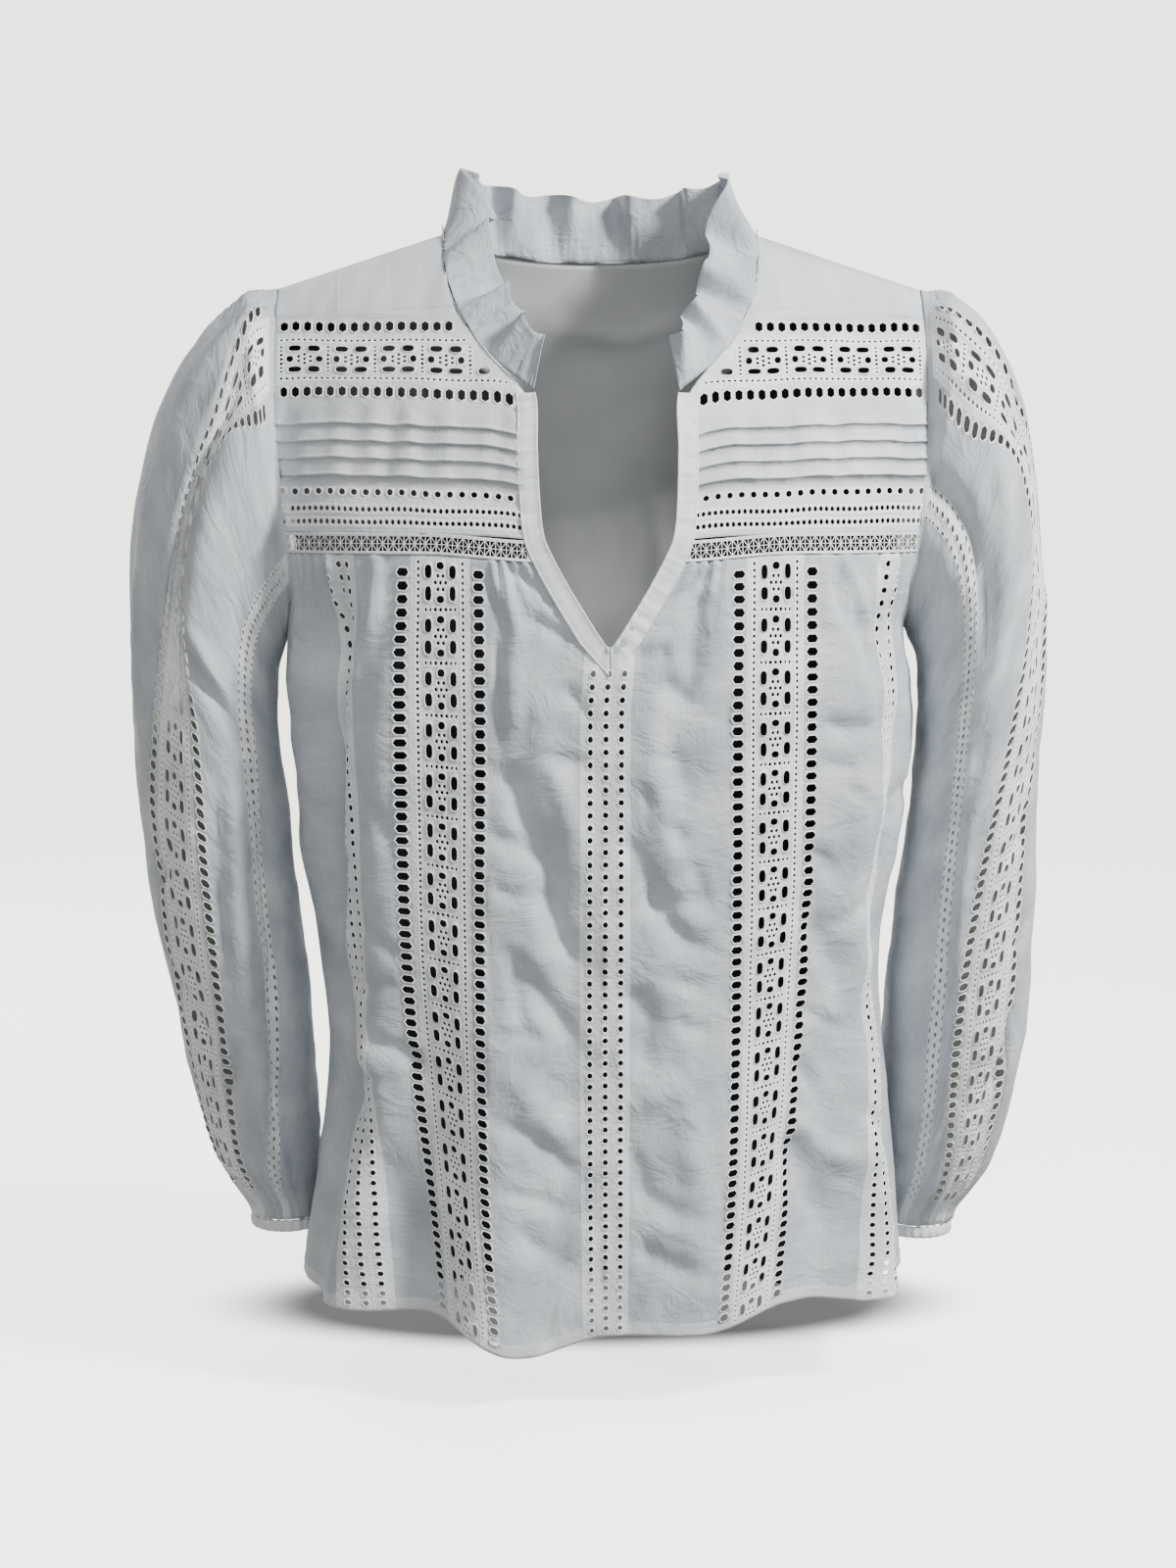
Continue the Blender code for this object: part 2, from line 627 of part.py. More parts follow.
def armhole_point(side, turn):
    """The armhole's edge, turn running in degrees from the shoulder round by the front."""
    height = (SHOULDER_TIP_Z - UNDERARM_Z) / 2
    z = UNDERARM_Z + height + height * math.cos(math.radians(turn))
    angle = side * angle_of(at(ARMHOLE_EDGE, z)[0], z)
    front = math.sin(math.radians(turn)) >= 0
    point = front_point(angle, z) if front else back_point(angle, z)
    point.x += side * SEAM_GAP
    return point


def sleeve_ring(side, rows, ring, inset):
    """One ring of a sleeve's wall, its cloth taken in by inset. Ring 0 is the armhole."""
    points = []
    middle_of_armhole = sum((armhole_point(side, 90 * k) for k in range(4)), Vector()) / 4
    for column in range(SLEEVE_AROUND):
        turn = 360 * column / SLEEVE_AROUND
        turn = turn - 360 if turn > 180 else turn
        if ring == 0:
            point = armhole_point(side, turn)
            inwards = middle_of_armhole - point
            inwards.x = 0
            points.append(point + inwards.normalized() * inset)
            continue
        outer_x, outer_z, inner_x, inner_z, back, depth = rows[ring - 1]
        middle = Vector(((outer_x + inner_x) / 2, back, (outer_z + inner_z) / 2))
        reach = Vector(((outer_x - inner_x) / 2, 0, (outer_z - inner_z) / 2))
        cosine = math.cos(math.radians(turn))
        sine = math.sin(math.radians(turn))
        out = reach.normalized() * cosine * depth + Vector((0, -1, 0)) * sine * reach.length
        out.normalize()
        moved = sleeve_fold(ring, turn, len(rows)) + sleeve_gather(ring, column, turn, len(rows))
        point = middle + reach * cosine + Vector((0, -1, 0)) * sine * depth + out * (moved - inset)
        points.append(Vector((side * point.x, point.y, point.z)))
    return points


def sleeve_fold(ring, turn, rings):
    moved = 0.0
    for top_turn, low_turn, depth, width, first_ring, last_ring in SLEEVE_FOLDS:
        middle = top_turn + (low_turn - top_turn) * ring / rings
        away = abs(turn - middle)
        grown = ease((ring - first_ring + 1) / 2) * ease((last_ring + 1 - ring) / 2)
        moved += depth * grown * math.exp(-((min(away, 360 - away) / width) ** 2))
    return moved


def sleeve_gather(ring, column, turn, rings):
    """Pleats of the sleeve's cap, and gathers into the cuff: every second column stands out."""
    cap = CAP_PLEAT * (1.0, 0.8, 0.4)[ring - 1] * ease((75 - abs(turn)) / 20) if ring <= 3 else 0.0
    from_cuff = rings - ring
    cuff = CUFF_GATHER * (0.45, 1.0, 0.8, 0.4)[from_cuff] if from_cuff < 4 else 0.0
    return (cap + cuff) * (1 if column % 2 else -1)


def build_sleeve(side, rows, name, material):
    points = []
    for ring in range(len(rows) + 1):
        outer = sleeve_ring(side, rows, ring, 0.0)
        inner = sleeve_ring(side, rows, ring, WALL)
        points += zip(outer, inner)
    faces = sheet_faces(len(rows) + 1, SLEEVE_AROUND, around=True, turned=side < 0)
    return cloth(name, points, faces, material)


def build_cuff(side, rows, name, material):
    """The narrow elastic band that closes a sleeve in under its last gathers."""
    outer_x, outer_z, inner_x, _, back, depth = rows[-1]
    around = 16
    points = []
    for drop, bulge in ((SEAM_GAP, 0.0), (CUFF_HEIGHT / 2, 0.0008), (CUFF_HEIGHT, 0.0)):
        for column in range(around):
            turn = 2 * math.pi * column / around
            half = (outer_x - inner_x) / 2
            wall = []
            for taken_in in (0.001 - bulge, 0.001 + WALL):
                x = (outer_x + inner_x) / 2 + (half - taken_in) * math.cos(turn)
                wall.append(Vector((side * x, back - (depth - taken_in) * math.sin(turn), outer_z - drop)))
            points.append(tuple(wall))
    return cloth(name, points, sheet_faces(3, around, around=True, turned=side < 0), material)


def neck_path(steps=240):
    """Points of the neck's seam from the right V corner round the back to the left one."""
    half = []
    for k in range(steps):
        z = V_CORNER_Z * (1 - k / steps) + 0.002 * (1 - k / steps)
        x = at(NECK_EDGE, z)[0]
        half.append(front_point(angle_of(x, z), z))
    back = []
    for k in range(steps + 1):
        x = NECK_HALF_WIDTH * math.cos(math.pi * k / steps)
        z = back_top(x)
        back.append(back_point(angle_of(x, z), z))
    right = [Vector((-p.x, p.y, p.z)) for p in half]
    return right + back[::-1] + half[::-1]


def along(path, share):
    """Point and direction at a share of a path's length."""
    lengths = [0.0]
    for a, b in zip(path, path[1:]):
        lengths.append(lengths[-1] + (b - a).length)
    want = share * lengths[-1]
    k = next((k for k in range(1, len(path) - 1) if lengths[k] >= want), len(path) - 1)
    span = lengths[k] - lengths[k - 1]
    return path[k - 1].lerp(path[k], (want - lengths[k - 1]) / max(span, 1e-9)), (path[k] - path[k - 1]).normalized()


def build_ruffle(name, material):
    """The ruffle that stands along the neck's seam, in waves that grow towards its free edge."""
    path = neck_path()
    columns = RUFFLE_WAVES * POINTS_A_WAVE + 1
    points = []
    for level in (0.0, 0.5, 1.0):
        for column in range(columns):
            share = column / (columns - 1)
            base, direction = along(path, share)
            height, across, back, up = at(RUFFLE, min(share, 1 - share))
            lean = Vector((across * (1 if share > 0.5 else -1), back, up)).normalized()
            out = direction.cross(lean).normalized()
            swing = RUFFLE_SWING * level * math.sin(2 * math.pi * column / POINTS_A_WAVE)
            swing *= 0.8 + 0.2 * math.sin(5 * math.pi * share)
            middle = base + lean * (RUFFLE_GAP + height * level) + out * swing
            points.append((middle + out * WALL / 2, middle - out * WALL / 2))
    return cloth(name, points, sheet_faces(3, columns, turned=True), material)


def build_binding(side, name, material):
    """The plain strip that finishes one edge of the split, lying on the yoke, lace and panel."""
    points = []
    rows = [(at(NECK_EDGE, z)[0], z, at(NECK_EDGE, z - 0.002)[0] - at(NECK_EDGE, z + 0.002)[0]) for z in BINDING_ROWS]
    for x, z, drift in rows:
        edge = Vector((-drift, -0.004)).normalized()
        across = Vector((-edge.y, edge.x)) if z < V_CORNER_Z - 0.01 else Vector((1, 0))
        for share in (0.0, 0.5, 1.0):
            width = SEAM_GAP / 2 + BINDING_WIDTH * share
            points.append(binding_pair(side, x + abs(across.x) * width, z - abs(across.y) * width))
    for share in (0.0, 0.5, 1.0):
        points.append(binding_pair(side, SEAM_GAP, V_POINT_Z - 0.0025 - 0.0125 * share))
    return cloth(name, points, sheet_faces(len(rows) + 1, 3, turned=side < 0), material)


def binding_pair(side, x, z):
    angle = angle_of(side * x, z)
    normal = outwards(front_point, angle, z)
    base = front_point(angle, z) + normal * (fold_height(FRONT_FOLDS, angle, z) + LAY_GAP)
    return base + normal * WALL, base


def make_material(name, colour, roughness):
    material = bpy.data.materials.new(name)
    material.use_nodes = True
    shader = material.node_tree.nodes["Principled BSDF"]
    shader.inputs["Base Color"].default_value = (*colour, 1.0)
    shader.inputs["Roughness"].default_value = roughness
    return material


def new_collection(name):
    collection = bpy.data.collections.new(name)
    bpy.context.scene.collection.children.link(collection)
    return collection


for thing in list(bpy.data.objects):
    bpy.data.objects.remove(thing)
blouse = new_collection("eyelet_blouse")
cutters = new_collection("eyelet_cutters")

voile = make_material("cotton_voile", (0.80, 0.82, 0.84), 0.85)
lace = make_material("cotton_lace", (0.84, 0.85, 0.86), 0.9)
trim = make_material("cotton_trim", (0.82, 0.84, 0.85), 0.85)

for side, word, sleeve_rows in ((1, "left", LEFT_SLEEVE), (-1, "right", RIGHT_SLEEVE)):
    build_yoke(side, f"yoke_{word}", voile)
    build_lace(side, f"lace_{word}", lace)
    build_binding(side, f"neck_binding_{word}", trim)
    build_sleeve(side, sleeve_rows, f"sleeve_{word}", voile)
    build_cuff(side, sleeve_rows, f"cuff_{word}", trim)
build_front_panel("front_panel", voile)
build_back_panel("back_panel", voile)
build_ruffle("neck_ruffle", trim)
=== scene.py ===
# Eyelet blouse of cotton voile, filled out as worn: cloth, cutwork, tucks, lace, gathers, then light and camera.
# Metres, +Z up, and the front faces -Y. Flat cloth is worked in millimetres and then laid on the blouse's form.
import bisect
import math

import bmesh
import bpy
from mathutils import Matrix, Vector, noise


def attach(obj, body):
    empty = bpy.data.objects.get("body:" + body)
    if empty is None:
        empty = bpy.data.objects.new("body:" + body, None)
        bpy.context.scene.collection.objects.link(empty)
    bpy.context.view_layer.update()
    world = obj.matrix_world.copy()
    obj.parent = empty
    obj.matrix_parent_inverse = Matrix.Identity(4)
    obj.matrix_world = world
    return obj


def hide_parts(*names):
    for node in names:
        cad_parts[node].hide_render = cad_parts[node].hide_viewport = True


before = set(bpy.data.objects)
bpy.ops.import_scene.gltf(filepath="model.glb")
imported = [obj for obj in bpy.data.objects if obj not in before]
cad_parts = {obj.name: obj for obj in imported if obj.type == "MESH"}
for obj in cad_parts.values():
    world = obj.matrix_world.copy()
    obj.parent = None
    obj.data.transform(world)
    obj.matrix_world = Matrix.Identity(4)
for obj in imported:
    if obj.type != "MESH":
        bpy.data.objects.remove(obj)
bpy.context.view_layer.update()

body = {
    "seamGap": 0.0005,
    "neckHalfWidth": 0.095,
    "shoulderTipX": 0.195,
    "shoulderSlope": 0.33,
    "vCorner": -0.096,  # where the ruffle ends at the top of the split neck
    "vPoint": -0.246,
    "underarm": -0.235,
    "yokeBottom": -0.1785,
    "laceBottom": -0.1900,
    "panelTop": -0.1905,
    "seamDip": 0.0045,
    "roundness": 2.4,
    "wall": 0.00045,
}

# Level sections of the trunk: z, left half width, right half width, front depth, back depth, back roundness.
trunk = sorted([
    (0.040, 0.2150, 0.2150, 0.100, 0.092, 2.4),
    (-0.050, 0.2160, 0.2160, 0.104, 0.096, 2.4),
    (-0.100, 0.2155, 0.2155, 0.108, 0.099, 2.4),
    (-0.150, 0.2110, 0.2110, 0.112, 0.101, 2.4),
    (-0.190, 0.1990, 0.1990, 0.116, 0.101, 2.4),
    (-0.235, 0.1845, 0.1845, 0.120, 0.100, 2.3),
    (-0.270, 0.1900, 0.1870, 0.121, 0.099, 2.2),
    (-0.340, 0.1860, 0.1800, 0.119, 0.097, 2.1),
    (-0.400, 0.1750, 0.1755, 0.116, 0.096, 2.0),
    (-0.440, 0.1710, 0.1710, 0.114, 0.097, 2.0),
    (-0.485, 0.1735, 0.1660, 0.114, 0.099, 2.0),
    (-0.550, 0.1805, 0.1710, 0.117, 0.106, 2.0),
    (-0.610, 0.1850, 0.1800, 0.122, 0.113, 2.0),
    (-0.670, 0.1890, 0.1860, 0.127, 0.118, 2.0),
])
neckEdge = sorted([
    (0.000, 0.0950), (-0.020, 0.0935), (-0.038, 0.0895), (-0.055, 0.0815), (-0.073, 0.0680),
    (-0.087, 0.0510), (-0.096, 0.0415), (-0.130, 0.0405), (-0.165, 0.0390), (-0.180, 0.0370),
    (-0.190, 0.0330), (-0.210, 0.0222), (-0.232, 0.0088), (-0.246, 0.0000),
])
armholeEdge = sorted([(-0.033, 0.1960), (-0.090, 0.1970), (-0.140, 0.1935), (-0.190, 0.1870), (-0.235, 0.1845)])

# Large folds: angle at the top, angle at the hem, depth, width in degrees, where it starts, where it is full.
frontFolds = [
    (-40.0, -60.0, 0.0080, 6.5, -0.195, -0.280),
    (-57.0, -75.0, -0.0060, 7.0, -0.195, -0.270),
    (-36.0, -40.0, -0.0120, 9.0, -0.400, -0.640),
    (-20.0, -23.0, 0.0120, 8.0, -0.430, -0.650),
    (-12.0, -6.0, -0.0045, 7.0, -0.250, -0.420),
    (12.0, 20.0, 0.0050, 10.0, -0.380, -0.620),
    (40.0, 46.0, -0.0120, 9.0, -0.380, -0.620),
    (50.0, 65.0, 0.0070, 7.0, -0.195, -0.300),
    (66.0, 80.0, -0.0050, 7.0, -0.195, -0.270),
]
backFolds = [
    (-50.0, -62.0, 0.0060, 8.0, -0.200, -0.420),
    (-32.0, -42.0, -0.0080, 8.0, -0.220, -0.560),
    (-14.0, -20.0, 0.0070, 8.0, -0.240, -0.560),
    (3.0, 2.0, -0.0070, 8.0, -0.200, -0.520),
    (20.0, 24.0, 0.0080, 8.0, -0.240, -0.560),
    (36.0, 45.0, -0.0080, 8.0, -0.220, -0.560),
    (54.0, 64.0, 0.0060, 8.0, -0.200, -0.420),
]
frontHem = sorted([
    (-90.0, -0.6300), (-62.0, -0.6390), (-44.0, -0.6370), (-23.0, -0.6590), (0.0, -0.6470),
    (24.0, -0.6460), (46.0, -0.6310), (66.0, -0.6380), (90.0, -0.6300),
])

# Sleeve rings from the armhole down: outer x, outer z, inner x, inner z, how far back, half depth.
leftSleeve = [
    (0.2130, -0.0360, 0.1885, -0.2410, 0.000, 0.053),
    (0.2330, -0.0510, 0.1915, -0.2480, 0.000, 0.058),
    (0.2510, -0.0800, 0.1945, -0.2590, 0.001, 0.061),
    (0.2630, -0.1220, 0.1960, -0.2750, 0.002, 0.063),
    (0.2700, -0.1800, 0.1960, -0.2990, 0.004, 0.064),
    (0.2715, -0.2600, 0.1930, -0.3400, 0.007, 0.064),
    (0.2700, -0.3400, 0.1865, -0.3960, 0.012, 0.064),
    (0.2700, -0.4150, 0.1810, -0.4500, 0.020, 0.064),
    (0.2690, -0.4780, 0.1790, -0.5000, 0.030, 0.063),
    (0.2620, -0.5330, 0.1790, -0.5430, 0.041, 0.058),
    (0.2480, -0.5780, 0.1800, -0.5800, 0.050, 0.050),
    (0.2300, -0.6050, 0.1800, -0.6060, 0.056, 0.036),
    (0.2270, -0.6150, 0.1810, -0.6150, 0.058, 0.033),
]
rightSleeve = [
    (0.2130, -0.0360, 0.1885, -0.2410, 0.000, 0.053),
    (0.2370, -0.0560, 0.1915, -0.2480, 0.000, 0.058),
    (0.2590, -0.0890, 0.1945, -0.2590, 0.001, 0.061),
    (0.2740, -0.1300, 0.1960, -0.2750, 0.002, 0.063),
    (0.2840, -0.1850, 0.1960, -0.2990, 0.004, 0.064),
    (0.2850, -0.2600, 0.1910, -0.3400, 0.007, 0.064),
    (0.2820, -0.3350, 0.1855, -0.3960, 0.012, 0.064),
    (0.2740, -0.4100, 0.1800, -0.4500, 0.020, 0.064),
    (0.2620, -0.4700, 0.1760, -0.5000, 0.030, 0.063),
    (0.2520, -0.5230, 0.1740, -0.5400, 0.041, 0.058),
    (0.2390, -0.5670, 0.1730, -0.5760, 0.049, 0.050),
    (0.2220, -0.5960, 0.1720, -0.5980, 0.055, 0.036),
    (0.2180, -0.6070, 0.1730, -0.6070, 0.057, 0.033),
]


def ease(share):
    share = min(max(share, 0.0), 1.0)
    return share * share * (3 - 2 * share)


# The other columns of a table at this key, smoothly between its rows.
def smoothAt(table, key):
    key = min(max(key, table[0][0]), table[-1][0])
    low = min(bisect.bisect_right(table, key, key=lambda row: row[0]) - 1, len(table) - 2)
    before, here, there, after = table[max(low - 1, 0)], table[low], table[low + 1], table[min(low + 2, len(table) - 1)]
    span = there[0] - here[0]
    share = (key - here[0]) / span
    found = []
    for column in range(1, len(here)):
        leave = (there[column] - before[column]) / (there[0] - before[0]) * span
        arrive = (after[column] - here[column]) / (after[0] - here[0]) * span
        rise = there[column] - here[column]
        bend = (3 * rise - 2 * leave - arrive) * share**2 + (leave + arrive - 2 * rise) * share**3
        found.append(here[column] + leave * share + bend)
    return found


# A value between rows on straight lines.
def lineAt(table, key):
    key = min(max(key, table[0][0]), table[-1][0])
    low = min(bisect.bisect_right(table, key, key=lambda row: row[0]) - 1, len(table) - 2)
    share = (key - table[low][0]) / (table[low + 1][0] - table[low][0])
    return table[low][1] + (table[low + 1][1] - table[low][1]) * share


def shoulderLine(x):
    return -body["shoulderSlope"] * (abs(x) - body["neckHalfWidth"])


def angleOf(x, z):
    halfWidth = smoothAt(trunk, z)[0 if x > 0 else 1]
    return math.degrees(math.asin(min(max(x / halfWidth, -1.0), 1.0)))


def frontPoint(angle, z):
    leftHalf, rightHalf, depth, _, _ = smoothAt(trunk, z)
    sine = math.sin(math.radians(angle))
    x = (leftHalf if angle > 0 else rightHalf) * sine
    fall = min(max(shoulderLine(x) - z, 0.0) / 0.22, 1.0)
    slope = math.sin(math.pi / 2 * fall) ** 0.7
    round = body["roundness"]
    return Vector((x, -depth * max(1 - abs(sine) ** round, 0.0) ** (1 / round) * slope, z))


def backPoint(angle, z):
    leftHalf, rightHalf, _, depth, round = smoothAt(trunk, z)
    sine = math.sin(math.radians(angle))
    x = (leftHalf if angle > 0 else rightHalf) * sine
    fall = min(max(shoulderLine(x) - z, 0.0) / 0.17, 1.0)
    slope = math.sin(math.pi / 2 * fall) ** 0.5
    return Vector((x, depth * max(1 - abs(sine) ** round, 0.0) ** (1 / round) * slope, z))


# Unit direction out of the cloth.
def outwards(surface, angle, z):
    around = surface(min(angle + 0.2, 90), z) - surface(max(angle - 0.2, -90), z)
    down = surface(angle, z - 0.0008) - surface(angle, z + 0.0008)
    normal = around.cross(down)
    if normal.length < 1e-12:
        return Vector((0, 0, 1))
    normal.normalize()
    return normal if normal.dot(surface(angle, z) - Vector((0, 0, z - 0.05))) > 0 else -normal


def foldHeight(folds, angle, z):
    moved = 0.0
    for topAngle, hemAngle, depth, width, topZ, fullZ in folds:
        along = (body["panelTop"] - z) / (body["panelTop"] - body["vPoint"] + 0.40)
        middle = topAngle + (hemAngle - topAngle) * min(max(along, 0.0), 1.0)
        away = (angle - middle) / width
        if abs(away) < 3:
            moved += depth * ease((topZ - z) / (topZ - fullZ)) * math.exp(-(away**2))
    return moved


def seamDip(x):
    return body["seamDip"] * (1 - ease((abs(x) - 0.035) / 0.075))


# Each crease with the box that it reaches: left, right, bottom and top.
def boxed(creases, deeper=1.0):
    found = []
    for depth, width, points in creases:
        depth *= deeper
        reach = 2.6 * width
        across, levels = [p[0] for p in points], [p[1] for p in points]
        box = min(across) - reach, max(across) + reach, min(levels) - reach, max(levels) + reach
        found.append((box, depth, width, points))
    return found


# Creases run through points in millimetres on the sheet's own two measures; depth and half width in millimetres.
def creaseHeight(creases, across, level):
    moved = 0.0
    for (left, right, bottom, top), depth, width, points in creases:
        if not (bottom < level < top and left < across < right):
            continue
        best = 1e9
        share = 0.0
        for k in range(len(points) - 1):
            ax, ay = points[k]
            bx, by = points[k + 1]
            length = (bx - ax) ** 2 + (by - ay) ** 2
            part = min(max(((across - ax) * (bx - ax) + (level - ay) * (by - ay)) / length, 0.0), 1.0)
            away = math.hypot(across - ax - (bx - ax) * part, level - ay - (by - ay) * part)
            if away < best:
                best = away
                share = (k + part) / (len(points) - 1)
        if best < 3 * width:
            fade = ease(share / 0.16) * ease((1 - share) / 0.3)
            moved += depth * (0.25 + 0.75 * fade) * math.exp(-((best / width) ** 2))
    return moved


# Soft crumple of thin cotton, in millimetres.
def crumple(across, level, seed, size=1.0):
    wide = noise.noise(Vector((across * 0.030, level * 0.022, seed)))
    small = noise.noise(Vector((across * 0.080, level * 0.050, seed + 7)))
    return size * (1.6 * wide + 0.9 * small)


# Materials

def hexColour(text):
    parts = [int(text[k:k + 2], 16) / 255 for k in (1, 3, 5)]
    return [p / 12.92 if p <= 0.04045 else ((p + 0.055) / 1.055) ** 2.4 for p in parts] + [1.0]


# One node with its settings and links; keys are attributes, socket names or socket numbers.
def addNode(tree, kind, settings=None, links=None):
    node = tree.nodes.new(kind)
    for key, value in (settings or {}).items():
        if isinstance(key, str) and hasattr(node, key):
            setattr(node, key, value)
        else:
            node.inputs[key].default_value = value
    for key, source in (links or {}).items():
        tree.links.new(source, node.inputs[key])
    return node


cloth = {
    "voile": {
        "light": "#C6CBD1", "dark": "#9DA5AE", "roughness": 0.86, "sheen": 0.06,
        "thread": 0.0011,  # real threads lie 0.3 mm apart; drawn coarser to show as a slubbed weave
        "slubLength": 0.018, "threadBump": 0.00014, "crumpleBump": 0.0020,
    },
    # a paler copy of the voile: two layers of cloth at the hem, and on the yokes also painted light
    "doubledAndLit": {
        "light": "#DBDFE2", "dark": "#B7BDC4", "roughness": 0.86, "sheen": 0.08,
        "thread": 0.0011, "slubLength": 0.018, "threadBump": 0.00012, "crumpleBump": 0.0010,
    },
    "stitch": {
        "light": "#FDFDFC", "dark": "#F0F1F0", "roughness": 0.62, "sheen": 0.25,
        "thread": 0.0009,  # satin stitch, 0.4 mm thread drawn twice as coarse
        "slubLength": 0.0022, "threadBump": 0.00016, "crumpleBump": 0.0,
    },
    "ground": {
        "light": "#F2F5F7", "dark": "#BBC3CA", "roughness": 0.8, "sheen": 0.12,
        "thread": 0.0014, "slubLength": 0.0034, "threadBump": 0.00042, "crumpleBump": 0.0006,
    },
    "trim": {
        "light": "#ECEEEF", "dark": "#D0D5DA", "roughness": 0.84, "sheen": 0.08,
        "thread": 0.0011, "slubLength": 0.012, "threadBump": 0.00010, "crumpleBump": 0.0004,
    },
}


# Woven cotton: matt, slightly slubbed threads both ways, a little fuzz at grazing angles, soft crumple.
def makeCotton(name, kind):
    look = cloth[kind]
    material = bpy.data.materials.new(name)
    material.use_nodes = True
    tree = material.node_tree
    shader = tree.nodes["Principled BSDF"]
    place = addNode(tree, "ShaderNodeUVMap", {"uv_map": "clothMap"})
    lengths = ((look["thread"], look["slubLength"]), (look["slubLength"], look["thread"]))
    threads = []
    for wide, long in lengths:
        turned = addNode(tree, "ShaderNodeMapping", {"Scale": (1 / wide, 1 / long, 1)}, {"Vector": place.outputs[0]})
        slub = addNode(tree, "ShaderNodeTexNoise", {"Scale": 1.0, "Detail": 2.0, "Roughness": 0.6},
                       {"Vector": turned.outputs[0]})
        threads.append(slub.outputs[0])
    weave = addNode(tree, "ShaderNodeMath", {"operation": "ADD"}, {0: threads[0], 1: threads[1]})
    mottle = addNode(tree, "ShaderNodeTexNoise", {"Scale": 26.0, "Detail": 3.0}, {"Vector": place.outputs[0]})
    tone = addNode(tree, "ShaderNodeMath", {"operation": "MULTIPLY_ADD", 1: 0.30}, {0: weave.outputs[0], 2: mottle.outputs[0]})
    shade = addNode(tree, "ShaderNodeMapRange", {"From Min": 0.52, "From Max": 1.05}, {"Value": tone.outputs[0]})
    colour = addNode(tree, "ShaderNodeMix", {"data_type": "RGBA"}, {0: shade.outputs[0]})
    colour.inputs[6].default_value = hexColour(look["dark"])
    colour.inputs[7].default_value = hexColour(look["light"])
    tree.links.new(colour.outputs[2], shader.inputs["Base Color"])
    bump = addNode(tree, "ShaderNodeBump", {"Strength": 1.0, "Distance": look["threadBump"]}, {"Height": weave.outputs[0]})
    if look["crumpleBump"]:
        # creases finer than the mesh: 8 to 20 mm long, more of them across than down
        flat = addNode(tree, "ShaderNodeMapping", {"Scale": (44, 54, 1)}, {"Vector": place.outputs[0]})
        soft = addNode(tree, "ShaderNodeTexNoise", {"Scale": 1.0, "Detail": 4.0, "Roughness": 0.58, "Distortion": 1.3},
                       {"Vector": flat.outputs[0]})
        bump = addNode(tree, "ShaderNodeBump", {"Strength": 1.0, "Distance": look["crumpleBump"]},
                       {"Height": soft.outputs[0], "Normal": bump.outputs[0]})
    tree.links.new(bump.outputs[0], shader.inputs["Normal"])
    shader.inputs["Roughness"].default_value = look["roughness"]
    shader.inputs["IOR"].default_value = 1.5
    shader.inputs["Specular IOR Level"].default_value = 0.25
    shader.inputs["Sheen Weight"].default_value = look["sheen"]
    shader.inputs["Sheen Roughness"].default_value = 0.5
    return material


# Painted light and shade on the cloth's inner side: the deep colour is painted shade, the pale colour is painted light
# by the neck.
paintedInsideShade = {
    "deep": "#2C2E31", "sleeve": "#E6E6E4", "paintedLight": "#D2D5D7", "roughness": 0.95,
    "paleBottom": -0.285, "paleTop": -0.262,  # below the split's point the inside is painted in deep shade
    "paleMiddle": 0.009, "paleWide": (0.046, 0.055), "neckWide": 0.082, "neckZ": (-0.098, -0.072),
}


# The cloth's inner side, which gets little light, with painted light and shade: painted pale by the neck, and painted
# deep shade further inside, so the eyelets read dark.
def makeInsidePaintedShade(name, deep):
    material = bpy.data.materials.new(name)
    material.use_nodes = True
    tree = material.node_tree
    shader = tree.nodes["Principled BSDF"]
    place = addNode(tree, "ShaderNodeTexCoord")
    parts = addNode(tree, "ShaderNodeSeparateXYZ", {}, {0: place.outputs["Object"]})
    depth = addNode(tree, "ShaderNodeMapRange",
                    {"From Min": paintedInsideShade["paleBottom"], "From Max": paintedInsideShade["paleTop"], "interpolation_type": "SMOOTHSTEP"},
                    {"Value": parts.outputs[2]})
    high = addNode(tree, "ShaderNodeMapRange",
                   {"From Min": paintedInsideShade["neckZ"][0], "From Max": paintedInsideShade["neckZ"][1], "To Max": paintedInsideShade["neckWide"] - paintedInsideShade["paleWide"][0]},
                   {"Value": parts.outputs[2]})
    across = addNode(tree, "ShaderNodeMath", {"operation": "SUBTRACT", 1: paintedInsideShade["paleMiddle"]}, {0: parts.outputs[0]})
    sideways = addNode(tree, "ShaderNodeMath", {"operation": "ABSOLUTE"}, {0: across.outputs[0]})
    beside = addNode(tree, "ShaderNodeMath", {"operation": "SUBTRACT"}, {0: sideways.outputs[0], 1: high.outputs[0]})
    near = addNode(tree, "ShaderNodeMapRange",
                   {"From Min": paintedInsideShade["paleWide"][1], "From Max": paintedInsideShade["paleWide"][0], "interpolation_type": "SMOOTHSTEP"},
                   {"Value": beside.outputs[0]})
    paintedLightShare = addNode(tree, "ShaderNodeMath", {"operation": "MULTIPLY"}, {0: depth.outputs[0], 1: near.outputs[0]})
    colour = addNode(tree, "ShaderNodeMix", {"data_type": "RGBA"}, {0: paintedLightShare.outputs[0]})
    colour.inputs[6].default_value = hexColour(deep)
    colour.inputs[7].default_value = hexColour(paintedInsideShade["paintedLight"])
    tree.links.new(colour.outputs[2], shader.inputs["Base Color"])
    shader.inputs["Roughness"].default_value = paintedInsideShade["roughness"]
    shader.inputs["Specular IOR Level"].default_value = 0.1
    return material


